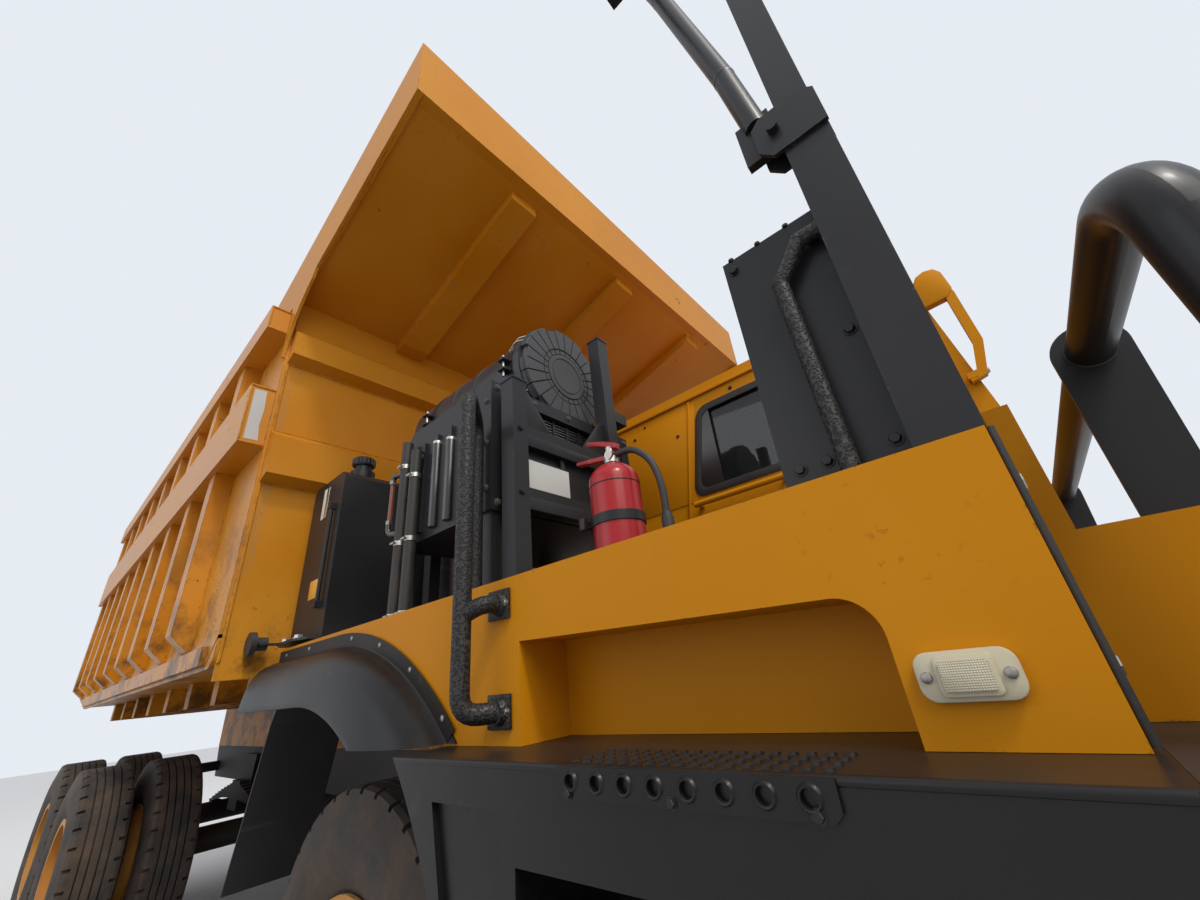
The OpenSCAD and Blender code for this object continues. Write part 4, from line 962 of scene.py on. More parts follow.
    def bolt(self, at: Point, axis: Point, radius: float) -> None:
        """Adds a hexagon bolt head on its washer.

        Args:
            at: Where it stands on the surface.
            axis: The direction out of the surface.
            radius: Radius over the head's corners.
        """
        low = radius * 0.2
        self.lathe([(radius * 1.35, -radius * 0.1), (radius * 1.35, low), (0.0, low)], at, axis, 16)
        self.lathe([(radius, low), (radius, low + radius * 0.6), (radius * 0.85, low + radius * 0.75),
                    (0.0, low + radius * 0.75)], at, axis, 6)

    def mirrored(self) -> None:
        """Repeats all that is there on the truck's other side."""
        fresh = bmesh.ops.duplicate(self.mesh, geom=list(self.mesh.verts) + list(self.mesh.faces))
        verts = [g for g in fresh["geom"] if isinstance(g, bmesh.types.BMVert)]
        faces = [g for g in fresh["geom"] if isinstance(g, bmesh.types.BMFace)]
        for vert in verts:
            vert.co.y = -vert.co.y
        bmesh.ops.reverse_faces(self.mesh, faces=faces)

    def done(self, body: str, slot: str, smooth: float = 35.0) -> bpy.types.Object:
        """Finishes the piece and lets it ride.

        Args:
            body: The CAD body that it rides on.
            slot: The record's material slot; not used.
            smooth: Edges flatter than this angle in degrees are shaded smooth.

        Returns:
            The new object.
        """
        bmesh.ops.recalc_face_normals(self.mesh, faces=self.mesh.faces)
        limit = math.radians(smooth)
        for edge in self.mesh.edges:
            edge.smooth = len(edge.link_faces) == 2 and edge.calc_face_angle(math.pi) < limit
        for face in self.mesh.faces:
            face.smooth = True
        data = bpy.data.meshes.new(self.name)
        self.mesh.to_mesh(data)
        self.mesh.free()
        for finish in self.finishes:
            data.materials.append(finish)
        piece = new_object(self.name, data)
        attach(piece, body)
        log.info("%s: %d faces on %s", self.name, len(data.polygons), body)
        return piece


# Stage, light and camera


@dataclass
class Studio:
    """The plain place that the truck stands in, seen from the photographer's spot.

    Attributes:
        eye: Where the camera stands.
        right: The camera's own X axis.
        up: The camera's own Y axis.
        back: The camera's own Z axis.
        lens: Focal length in millimetres, on a sensor 36 mm wide.
        floor_size: Edge of the floor.
        ambient: Strength of the sky's even light.
    """

    eye: Point = (3.825, -2.20, 1.46)
    right: Point = (0.7447, 0.6603, -0.0970)
    up: Point = (0.3529, -0.2662, 0.8970)
    back: Point = (0.5665, -0.7022, -0.4313)
    lens: float = 13.98
    floor_size: float = 60.0
    ambient: float = 0.58

    def build(self) -> None:
        """Builds the floor, the sky, the lamps and the camera."""
        self._floor()
        self._sky()
        self._lamps()
        self._camera()
        bpy.context.scene.view_settings.view_transform = "Standard"

    def _background_share(self, tree: Tree) -> bpy.types.NodeSocket:
        """Gives 1 on rays that see the background, from the camera, a mirror or through glass."""
        path = tree.add("ShaderNodeLightPath")
        seen = tree.math("MAXIMUM", path.outputs["Is Camera Ray"], path.outputs["Is Glossy Ray"])
        return tree.math("MAXIMUM", seen, path.outputs["Is Transmission Ray"])

    def _floor(self) -> None:
        """Lays the pale floor."""
        half = self.floor_size / 2
        data = bpy.data.meshes.new("floor")
        corners = [(-half, -half, 0), (half, -half, 0), (half, half, 0), (-half, half, 0)]
        data.from_pydata(corners, [], [(0, 1, 2, 3)])
        floor = new_object("floor", data)
        material, tree, shader = new_material("pale floor")
        share = self._background_share(tree)
        tree.put(shader["Base Color"], tree.mix(share, (0.34, 0.34, 0.335), (0.72, 0.72, 0.71)))
        shader["Roughness"].default_value = 0.9
        data.materials.append(material)

    def _sky(self) -> None:
        """Makes the even sky, pale where the camera sees it."""
        world = bpy.data.worlds.new("sky")
        world.use_nodes = True
        bpy.context.scene.world = world
        tree = Tree(world.node_tree)
        shader = world.node_tree.nodes["Background"]
        share = self._background_share(tree)
        colour = tree.mix(share, (0.86, 0.90, 1.0), (0.80, 0.84, 0.90))
        tree.put(shader.inputs["Color"], colour)
        tree.put(shader.inputs["Strength"], tree.scaled(share, 1.0 - self.ambient, self.ambient))

    def _lamps(self) -> None:
        """Hangs a soft key light, a fill from the front and a sun behind a veil."""
        plan = (("key", (9.5, -4.5, 8.5), (1.0, 0.0, 1.8), 430.0, 7.0, (1.0, 0.97, 0.92)),
                ("fill", (-2.0, -11.0, 5.0), (-0.5, 0.0, 2.0), 150.0, 7.0, (0.95, 0.97, 1.0)),
                ("back", (-7.0, 7.0, 8.0), (0.0, 0.0, 2.0), 240.0, 7.0, (1.0, 0.98, 0.95)))
        for name, place, aim, power, size, colour in plan:
            data = bpy.data.lights.new(name, "AREA")
            data.energy, data.size, data.color = power, size, colour
            lamp = new_object(name, data)
            lamp.location = place
            lamp.rotation_euler = (Vector(aim) - Vector(place)).to_track_quat("-Z", "Y").to_euler()
        sun = bpy.data.lights.new("sun", "SUN")
        sun.energy, sun.angle, sun.color = 1.15, math.radians(8), (1.0, 0.96, 0.9)
        lamp = new_object("sun", sun)
        lamp.rotation_euler = Vector((-0.50, 0.22, -0.84)).to_track_quat("-Z", "Y").to_euler()

    def _camera(self) -> None:
        """Sets the camera at the photographer's spot."""
        data = bpy.data.cameras.new("camera")
        data.sensor_width, data.lens, data.clip_start = 36.0, self.lens, 0.01
        camera = new_object("camera", data)
        turn = Matrix((self.right, self.up, self.back)).transposed()
        camera.matrix_world = Matrix.Translation(self.eye) @ turn.to_4x4()
        bpy.context.scene.camera = camera


# The truck


@dataclass
class FrameNodes:
    """The CAD nodes that stay, dressed in their finishes."""

    finishes: Finishes

    def plan(self) -> dict[str, bpy.types.Material]:
        """Names the finish of each node."""
        f = self.finishes
        plan = {f.panel_yellow: ("side_fascias", "front_apron", "cab_shell", "cab_door"),
                f.body_yellow: ("bed_floor_plate", "bed_front_wall", "bed_canopy"),
                f.side_yellow: ("bed_sides",),
                f.wheel_yellow: ("rim_front_right", "rim_front_left", "rims_mid_right", "rims_mid_left",
                                 "rims_rear_right", "rims_rear_left"),
                f.frame_black: ("chassis_frame", "rear_axles", "springs", "tie_rod", "fuel_tank",
                                "rear_bar", "hoist_barrel"),
                f.iron: ("front_axle", "engine", "drive_shaft", "knuckle_left", "knuckle_right"),
                f.black: ("deck", "bumper", "guard_rail", "oil_tank", "radiator_stand", "cooler",
                          "side_screen", "mirror_post", "mirror_arm"),
                f.fairing: ("step_fairings", "tread_plates"),
                f.flare: ("arch_flares",),
                f.plastic: ("intake_pipe", "horn", "cab_mirror", "mud_flaps"),
                f.drum: ("air_filter",),
                f.hose: ("cooler_hoses",),
                f.trim: ("cab_interior",),
                f.glass: ("cab_glass", "door_glass"),
                f.red: ("extinguisher",),
                f.knurl: ("grab_handle", "screen_handle"),
                f.clear_lens: ("lamps",),
                f.red_lens: ("tail_lamps",),
                f.tyre: ("tyre_front_right", "tyre_front_left", "tyres_mid_right", "tyres_mid_left",
                         "tyres_rear_right", "tyres_rear_left"),
                f.chrome: ("hoist_stage_1", "hoist_stage_2", "hoist_stage_3", "hoist_rod")}
        return {node: finish for finish, nodes in plan.items() for node in nodes}

    def dress(self, nodes: dict[str, bpy.types.Object]) -> None:
        """Gives every CAD node its finish.

        Args:
            nodes: The frame's nodes by name.
        """
        plan = self.plan()
        for name, node in nodes.items():
            finish = plan.get(name, self.finishes.black)
            node.data.materials.clear()
            node.data.materials.append(finish)
            log.info("%s: %s", name, finish.name)


@dataclass
class AirCleaner:
    """The big round air cleaner's end cap, wire clips and mounting bands.

    Attributes:
        finishes: The truck's finishes.
        ribs: Radial tiles on the cap.
        clips: Spring clips round the cap.
        groove: Width of the grooves between the tiles.
    """

    finishes: Finishes
    ribs: int = 24
    clips: int = 6
    groove: float = 0.005

    def build(self) -> None:
        """Builds the cap, the clips and the mounting bands."""
        low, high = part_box("air_filter")
        self.y, self.z, self.front = (low.y + high.y) / 2, (low.z + high.z) / 2, high.x
        self.radius = (high.z - low.z) / 2
        self._cap()
        self._clips()
        self._bands(low.x)

    def _cap(self) -> None:
        """The flat cap: tiles between narrow grooves round a plain disc, and a rim with lugs."""
        shape, at = Shape("cleaner_cap").use(self.finishes.cap_grey), Vector((self.front, self.y, self.z))
        profile = [(0.93, -0.024), (0.935, -0.006), (0.91, 0.0035), (0.44, 0.0035), (0.435, 0.0105),
                   (0.40, 0.0115), (0.36, 0.0105), (0.355, 0.0075), (0.335, 0.0075), (0.33, 0.0105),
                   (0.15, 0.0075), (0, 0.0070)]
        shape.lathe([(self.radius * share, lift) for share, lift in profile], at, FORWARD, 96)
        for i in range(self.ribs):
            reach = 0.915 if i % 4 == 3 else 0.965
            self._tile(shape, at, i, (0.455, 0.535), 0.009)
            self._tile(shape, at, i, (0.555, reach), 0.0115)
            if i % 4 != 3:
                self._tile(shape, at, i, (0.925, 0.985), -0.004)
        shape.done(Body.CHASSIS, "black_plastic")

    def _tile(self, shape: Shape, at: Vector, index: int, reach: tuple[float, float], lift: float) -> None:
        """Adds one raised tile of the cap.

        Args:
            shape: The mesh that receives it.
            at: Middle of the cap's face.
            index: The tile's number round the cap.
            reach: Inner and outer radius, as shares of the drum's radius.
            lift: Height of the tile's face over the cap's.
        """
        step = 2 * math.pi / self.ribs
        outline = []
        for share, ways in ((reach[0], (0, 1, 2, 3)), (reach[1], (3, 2, 1, 0))):
            radius = share * self.radius
            groove = self.groove / 2 / radius
            for k in ways:
                a = step * index + groove + (step - 2 * groove) * k / 3
                outline.append(Vector((0, math.cos(a) * radius, math.sin(a) * radius)))
        middle = sum(outline, Vector()) / len(outline)
        rings = [[at + Vector((x, 0, 0)) + middle + (p - middle) * share for p in outline]
                 for x, share in ((lift - 0.018, 1.0), (lift - 0.0015, 1.0), (lift, 0.965))]
        shape.loft(rings)

    def _clips(self) -> None:
        """The wire clips that hold the cap."""
        shape = Shape("cleaner_clips").use(self.finishes.zinc)
        for i in range(self.clips):
            angle = 2 * math.pi * (i + 0.5) / self.clips
            out = Vector((0, math.cos(angle), math.sin(angle)))
            side = Vector((0, -out.z, out.y))
            base = Vector((self.front - 0.115, self.y, self.z)) + out * (self.radius - 0.008)
            for way in (-1, 1):
                start = base + side * 0.017 * way
                shape.tube([start, start + Vector((0.055, 0, 0)) + out * 0.018,
                            start + Vector((0.093, 0, 0)) + out * 0.004], 0.0028, 0.02, 8)
            shape.tube([base - side * 0.024, base + side * 0.024], 0.005, steps=8)
        shape.done(Body.CHASSIS, "black_plastic")

    def _bands(self, rear: float) -> None:
        """The two steel bands round the drum with their screws, and two raised lines on it.

        Args:
            rear: Place of the drum's rear end.
        """
        r, shape = self.radius - 0.014, Shape("cleaner_bands")
        outer = self.y - r
        for x in (rear + 0.17, self.front - 0.105):
            shape.use(self.finishes.black)
            shape.lathe([(r - 0.004, -0.02), (r + 0.004, -0.02), (r + 0.004, 0.02), (r - 0.004, 0.02)],
                        (x, self.y, self.z), FORWARD, 64)
            for z in (self.z - 0.03, self.z + 0.02):
                shape.box((x - 0.02, outer - 0.045, z), (x + 0.02, outer + 0.004, z + 0.01), 0.002)
            shape.use(self.finishes.zinc)
            screw = outer - 0.028
            shape.tube([(x, screw, self.z - 0.055), (x, screw, self.z + 0.05)], 0.005, steps=8)
            shape.bolt((x, screw, self.z + 0.03), UP, 0.011)
        shape.use(self.finishes.plastic)
        for x in (rear + 0.35, rear + 0.52):
            shape.lathe([(r - 0.004, -0.008), (r + 0.005, -0.005), (r + 0.005, 0.005), (r - 0.004, 0.008)],
                        (x, self.y, self.z), FORWARD, 64)
        shape.done(Body.CHASSIS, "black_plastic")


@dataclass
class Extinguisher:
    """The fire extinguisher on the platform.

    Attributes:
        finishes: The truck's finishes.
        bottle_r: Radius of the bottle.
        neck_z: Height of the bottle's shoulder above its foot.
    """

    finishes: Finishes
    bottle_r: float = 0.063
    neck_z: float = 0.240

    def build(self) -> None:
        """Builds the bottle, valve, levers, gauge, hose and strap."""
        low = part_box("extinguisher")[0]
        foot = Vector((3.165, -1.34, low.z))
        f, r, top = self.finishes, self.bottle_r, self.neck_z
        shape = Shape("extinguisher_dressed").use(f.red)
        turns = [math.radians(11.25 * i) for i in range(1, 8)]
        dome = [(r * math.cos(a), top + r * 0.85 * math.sin(a)) for a in turns]
        shape.lathe([(r - 0.012, 0.0), (r - 0.008, 0.012), (r, 0.02), (r, top), *dome, (0.0185, top + 0.056),
                     (0.0185, top + 0.060)], foot, UP, 48)
        shape.use(f.black)
        for z in (0.036, 0.228):
            seam = [(r - 0.001, z), (r + 0.001, z + 0.001), (r + 0.001, z + 0.003), (r - 0.001, z + 0.004)]
            shape.hoop(seam, foot, UP, 48)
        shape.use(f.zinc).lathe([(0.019, top + 0.055), (0.019, top + 0.072), (0.013, top + 0.075),
                                 (0.013, top + 0.10), (0.0, top + 0.10)], foot, UP, 20)
        shape.use(f.red)
        z = low.z + top + 0.083
        handle = [(3.052, z + 0.004), (3.10, z - 0.006), (3.150, z - 0.016), (3.182, z - 0.014),
                  (3.182, z + 0.002), (3.150, z - 0.002), (3.10, z + 0.006), (3.054, z + 0.013)]
        lever = [(3.092, z + 0.048), (3.14, z + 0.028), (3.19, z + 0.004), (3.19, z + 0.020),
                 (3.148, z + 0.040), (3.096, z + 0.058)]
        for outline in (handle, lever):
            shape.prism(outline, Axis.Y, -1.351, -1.329, 0.0025)
        gauge = (3.172, -1.352, z - 0.010)
        shape.use(f.zinc).lathe([(0.010, 0), (0.012, 0.003), (0.012, 0.009), (0, 0.009)], gauge, RIGHT, 24)
        shape.use(f.label).lathe([(0.0095, 0.0091), (0, 0.0093)], gauge, RIGHT, 24)
        shape.use(f.hose)
        shape.tube([(3.177, -1.34, z - 0.008), (3.225, -1.332, z - 0.004), (3.27, -1.326, z - 0.045),
                    (3.29, -1.322, z - 0.115), (3.29, -1.322, low.z + 0.13)], 0.0085, 0.05)
        shape.lathe([(0.011, 0.0), (0.014, 0.01), (0.014, 0.12), (0.010, 0.135), (0, 0.135)],
                    (3.29, -1.322, low.z), UP, 20)
        strap = [(r - 0.001, 0.130), (r + 0.0035, 0.131), (r + 0.0035, 0.154), (r - 0.001, 0.155)]
        shape.use(f.black).hoop(strap, foot, UP, 48)
        shape.box((3.095, -1.405, low.z + 0.128), (3.112, -1.388, low.z + 0.157), 0.002)
        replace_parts(shape.done(Body.CHASSIS, "red_paint"), "extinguisher")


@dataclass
class LampGlasses:
    """Side marker lamps and headlamps, with their bezels and screws.

    Attributes:
        finishes: The truck's finishes.
        bezel: Width of the marker lamp's rim.
    """

    finishes: Finishes
    bezel: float = 0.022

    def build(self) -> None:
        """Builds the lamps on both sides."""
        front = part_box("lamps")[1].x
        f, b = self.finishes, self.bezel
        shape = Shape("lamp_glasses").use(f.white_bezel)
        face, x0, x1, z0, z1 = -1.4605, 3.692, 3.796, 1.390, 1.445
        shape.plate((x0, z0), (x1, z1), 0.017, Axis.Y, face - 0.013, face, 0.003)
        shape.plate((x0 + b, z0 + 0.006), (x1 - b, z1 - 0.006), 0.006, Axis.Y, face - 0.018, face - 0.012,
                    0.002)
        shape.use(f.clear_lens)
        shape.plate((x0 + b + 0.005, z0 + 0.011), (x1 - b - 0.005, z1 - 0.011), 0.003, Axis.Y, face - 0.0215,
                    face - 0.017, 0.0015)
        shape.use(f.bare_steel)
        for x in (x0 + 0.011, x1 - 0.011):
            shape.lathe([(0.0065, 0.0), (0.006, 0.003), (0.003, 0.0045), (0, 0.0045)],
                        (x, face - 0.013, (z0 + z1) / 2), RIGHT, 16)
        self._headlamp(shape, front)
        shape.mirrored()
        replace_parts(shape.done(Body.CHASSIS, "lamp_lens"), "lamps")

    def _headlamp(self, shape: Shape, front: float) -> None:
        """Adds one headlamp in its pocket: reflector bowls behind a ribbed glass.

        Args:
            shape: The piece that takes it.
            front: Place of the lamp's face.
        """
        f = self.finishes
        y0, y1, z0, z1 = -1.2697, -0.8903, 0.9603, 1.1797
        shape.use(f.black).plate((y0, z0), (y1, z1), 0.03, Axis.X, front - 0.035, front - 0.012, 0.002)
        for y in (y0 + 0.105, y1 - 0.105):
            at = (front, y, (z0 + z1) / 2)
            shape.use(f.chrome).lathe([(0.084, -0.0115), (0.088, 0.0), (0.080, -0.004), (0.03, -0.008),
                                       (0, -0.008)], at, FORWARD, 32)
            shape.use(f.lamp_glass).lathe([(0.080, -0.003), (0.06, 0.004), (0.03, 0.008), (0, 0.009)], at,
                                          FORWARD, 32)


@dataclass
class PlatformFittings:
    """Small parts on the platform: plate, grab handle, marks, bolts, tread patterns, pipes and clamps.

    Attributes:
        finishes: The truck's finishes.
        handle_r: Radius of the grab handle's tube.
        deck_top: Height of the deck's upper face.
        tank_face: Place of the oil tank's outer face.
    """

    finishes: Finishes
    handle_r: float = 0.022
    deck_top: float = 1.6405
    tank_face: float = -1.40

    def build(self) -> None:
        """Builds each small part."""
        self._stand_plate()
        self._tank_marks()
        self._sight_tube()
        self._grab_handle()
        self._hose_clamps()
        self._cooler_core()
        self._cooler_pipes()
        self._screen_bolts()
        self._tread_pattern()
        self._tread_rims()
        self._deck_pattern()

    def _stand_plate(self) -> None:
        """The plate between the stand's rails, with its blank label, gussets, bolts and end plates."""
        f, shape = self.finishes, Shape("stand_plate")
        x = 2.7955
        shape.use(f.black).box((x - 0.030, -1.30, 1.950), (x - 0.026, -0.87, 2.180), 0.001)
        for z in (1.932, 2.150):
            shape.box((2.752, -1.298, z), (2.7985, -0.872, z + 0.042), 0.003)
        shape.box((x - 0.026, -1.135, 1.975), (x - 0.010, -1.115, 2.15), 0.001)
        shape.box((x - 0.012, -1.300, 1.975), (x - 0.008, -1.10, 2.112), 0.001)
        shape.use(f.label).box((x - 0.0078, -1.296, 1.982), (x - 0.0060, -1.104, 2.105), 0.0004)
        shape.use(f.black)
        for y, turn in ((-1.30, 1.0), (-0.87, -1.0)):
            shape.prism([(y, 2.225), (y, 2.385), (y + 0.02 * turn, 2.385), (y + 0.13 * turn, 2.245),
                         (y + 0.13 * turn, 2.225)], Axis.X, 2.770, 2.778, 0.001)
        for y, z in ((-1.33, 1.98), (-1.33, 2.20), (-0.84, 1.98), (-0.84, 2.20)):
            shape.bolt((2.805, y, z), FORWARD, 0.009)
        for y, top in ((-1.33, 2.39), (-0.84, 2.82)):
            shape.box((2.742, y - 0.033, top - 0.004), (2.808, y + 0.033, top + 0.004), 0.0015)
            shape.box((2.725, y - 0.05, self.deck_top), (2.825, y + 0.05, self.deck_top + 0.010), 0.002)
        shape.done(Body.CHASSIS, "black_paint")

    def _tank_marks(self) -> None:
        """The oil tank's reflective strip, blank stickers, foot bolts and ribbed filler cap."""
        f, shape = self.finishes, Shape("oil_tank_marks")
        face = self.tank_face
        for finish, x0, x1, z0, z1 in ((f.label, 1.362, 1.396, 2.275, 2.435),
                                       (f.tape, 1.396, 1.425, 2.275, 2.435),
                                       (f.sticker, 1.372, 1.458, 1.89, 1.975)):
            shape.use(finish).box((x0, face - 0.0016, z0), (x1, face - 0.0002, z1), 0.0004)
        shape.use(f.black)
        cap = Vector((1.415, -1.25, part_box("oil_tank")[1].z + 0.080))
        shape.lathe([(0.042, -0.085), (0.042, -0.046), (0.052, -0.044), (0.055, -0.038), (0.055, -0.005),
                     (0.049, 0.001), (0.0, 0.003)], cap, UP, 32)
        for spoke in spokes(Vector(FORWARD), Vector(LEFT), 18):
            rib = cap + spoke * 0.054 - Vector((0, 0, 0.038))
            shape.lathe([(0.005, 0), (0.005, 0.032), (0, 0.034)], rib, UP, 8)
        shape.lathe([(0.047, 0.0), (0.052, 0.0), (0.052, 0.010), (0.047, 0.010)], (1.415, -1.25, 2.47), UP,
                    32)
        shape.use(f.zinc)
        for x in (1.345, 1.485):
            shape.bolt((x, -1.448, 1.7165), UP, 0.018)
        shape.done(Body.CHASSIS, "black_paint")

    def _grab_handle(self) -> None:
        """The coated grab handle, with smooth bends, its two foot plates and their bolts."""
        f, shape = self.finishes, Shape("grab_handle_bent").use(self.finishes.knurl)
        face, r, deck = -1.461, self.handle_r, self.deck_top
        out, back = (2.823, -1.540), (2.675, -1.405)
        shape.tube([(2.870, face - 0.003, 1.406), (*out, 1.406), (*out, 2.242), (*back, 2.242),
                    (*back, deck)], r, 0.058, 20)
        shape.tube([(2.870, face - 0.003, 1.635), (2.866, -1.512, 1.635), (*out, 1.615)], r * 0.95, 0.02, 16)
        for z in (1.406, 1.635):
            shape.use(f.knurl).box((2.826, face - 0.008, z - 0.035), (2.905, face, z + 0.035), 0.002)
            shape.use(f.bare_steel).bolt((2.896, face - 0.008, z), RIGHT, 0.007)
            shape.use(f.knurl).lathe([(r * 1.3, 0.0), (r * 1.05, 0.012), (r * 0.9, 0.012)],
                                     (2.870, face - 0.008, z), RIGHT, 20)
        shape.lathe([(r * 2.0, 0.0), (r * 2.0, 0.004), (r * 0.9, 0.005)], (*back, deck), UP, 24)
        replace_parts(shape.done(Body.CHASSIS, "black_paint"), "grab_handle")

    def _sight_tube(self) -> None:
        """The cooler's reddish sight tube between its two elbows."""
        f, shape = self.finishes, Shape("sight_tube").use(self.finishes.copper)
        x, y = 2.085, -1.392
        shape.tube([(x, y, 2.062), (x, y, 2.238)], 0.0085, steps=16)
        shape.use(f.gloss_black)
        shape.tube([(x, y, 2.232), (x, y, 2.262), (2.150, -1.370, 2.262)], 0.0115, 0.02, 12)
        shape.tube([(x, y, 2.068), (x, y, 2.020), (2.150, -1.370, 2.012)], 0.0115, 0.03, 12)
        shape.use(f.bare_steel)
        for z in (2.066, 2.234):
            shape.sleeve(0.0080, 0.0135, 0.008, (x, y, z), UP, 6)
        shape.done(Body.CHASSIS, "black_paint")

    def _hose_clamps(self) -> None:
        """Clamps at the cooler hoses, each with its screw, and at the intake pipe."""
        shape = Shape("hose_clamps").use(self.finishes.zinc)
        for x, top in ((2.215, 2.33), (2.290, 2.27)):
            for z in (1.70, 1.95, top - 0.08):
                shape.sleeve(0.0198, 0.0222, 0.008, (x, -1.4075, z), UP, 24)
                shape.tube([(x - 0.012, -1.433, z), (x + 0.012, -1.433, z)], 0.005, steps=8)
        for z in (1.78, 2.40):
            shape.sleeve(0.0655, 0.0690, 0.009, (1.668, -0.911, z), UP, 40)
        shape.done(Body.CHASSIS, "black_plastic")

    def _cooler_core(self) -> None:
        """Thin fins in the cooler's front opening, and bolts round it."""
        f, shape = self.finishes, Shape("cooler_core").use(self.finishes.bare_steel)
        for i in range(30):
            z = 2.005 + 0.012 * i
            shape.box((2.6806, -1.322, z), (2.690, -0.673, z + 0.0022))
        shape.use(f.black)
        for i in range(9):
            y = -1.29 + 0.0725 * i
            shape.box((2.6806, y, 1.998), (2.694, y + 0.009, 2.365))
        shape.use(f.iron)
        for y in (-1.35, -1.18, -1.0, -0.82, -0.645):
            for z in (1.970, 2.393):
                shape.bolt((2.710, y, z), FORWARD, 0.010)
        for z in (2.02, 2.18, 2.34):
            shape.bolt((2.685, -1.375, z), RIGHT, 0.009)
        shape.done(Body.CHASSIS, "black_paint")

    def _cooler_pipes(self) -> None:
        """Round pipes over the cooler's outer side with their top elbows and clamps, and the cooler's cap."""
        f, shape = self.finishes, Shape("cooler_pipes")
        y = -1.3765
        for i in (2, 3, 4):
            x, top = 2.205 + 0.09 * i, 2.334 - 0.02 * i
            shape.use(f.gloss_black).prism(arc((x, y), 0.0190, 180, 360, 10), Axis.Z, 1.972, top, 0.0015)
            shape.tube([(x, y, top - 0.01), (x, y, top + 0.016), (x - 0.004, -1.340, top + 0.034)], 0.016,
                       0.02)
            shape.use(f.zinc).sleeve(0.0150, 0.0185, 0.006, (x, y, top + 0.003), UP, 20)
        shape.use(f.black).lathe([(0.034, -0.002), (0.034, 0.022), (0.046, 0.024), (0.046, 0.044),
                                  (0.040, 0.050), (0, 0.050)], (2.36, -1.24, 2.418), UP, 24)
        shape.done(Body.CHASSIS, "black_paint")

    def _screen_bolts(self) -> None:
        """Dark bolts along the edges of the side screen."""
        shape = Shape("screen_bolts").use(self.finishes.black)
        for x, z in ((3.765, 2.165), (3.765, 1.945), (3.61, 2.20), (3.62, 1.735), (3.665, 1.735),
                     (3.765, 1.735)):
            shape.bolt((x, -1.4175, z), RIGHT, 0.009)
        for x in (3.61, 3.67, 3.73):
            shape.lathe([(0.006, -0.001), (0.006, 0.005), (0.004, 0.007), (0, 0.007)],
                        (x, -1.4153, 2.230), UP, 10)
        shape.done(Body.CHASSIS, "black_paint")

    def _tread_rims(self) -> None:
        """Raised rims round the holes of the tread plates, and the plates' bolts."""
        shape = Shape("tread_rims").use(self.finishes.fairing)
        for i in range(8):
            shape.hoop([(0.0092, -0.001), (0.0100, 0.003), (0.0125, 0.0035), (0.0150, -0.0002)],
                       (3.220 + 0.0514 * i, -1.6055, 1.3195), RIGHT, 20)
        shape.use(self.finishes.black)
        for x in (3.215, 3.400, 3.585):
            shape.bolt((x, -1.6055, 1.304), RIGHT, 0.006)
        shape.mirrored()
        shape.done(Body.CHASSIS, "black_paint")

    def _tread_pattern(self) -> None:
        """Raised dots on the step housing's top edge beside the side panel."""
        shape = Shape("tread_dots").use(self.finishes.fairing)
        top = 1.3395
        for i in range(17):
            for k in range(4):
                shape.lathe([(0.008, -0.0005), (0.0065, 0.0032), (0, 0.0036)],
                            (3.205 + i * 0.0245, -1.488 - k * 0.029, top), UP, 8)
        shape.mirrored()
        shape.done(Body.CHASSIS, "black_paint")

    def _deck_pattern(self) -> None:
        """Rows of raised bars on the walking deck, turned this way and that."""
        shape = Shape("deck_pattern").use(self.finishes.black)
        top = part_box("deck")[1].z
        rows, columns, pitch_x, pitch_y, slant = 38, 9, 0.052, 0.055, 0.016
        for i in range(rows):
            for k in range(columns):
                x, y = 1.72 + i * pitch_x, -0.56 + k * pitch_y
                turn = slant if (i + k) % 2 else -slant
                shape.prism([(x - 0.012, y - turn), (x - 0.006, y - turn - 0.004), (x + 0.012, y + turn),
                             (x + 0.006, y + turn + 0.004)], Axis.Z, top - 0.0002, top + 0.0022)
        shape.done(Body.CHASSIS, "black_paint")


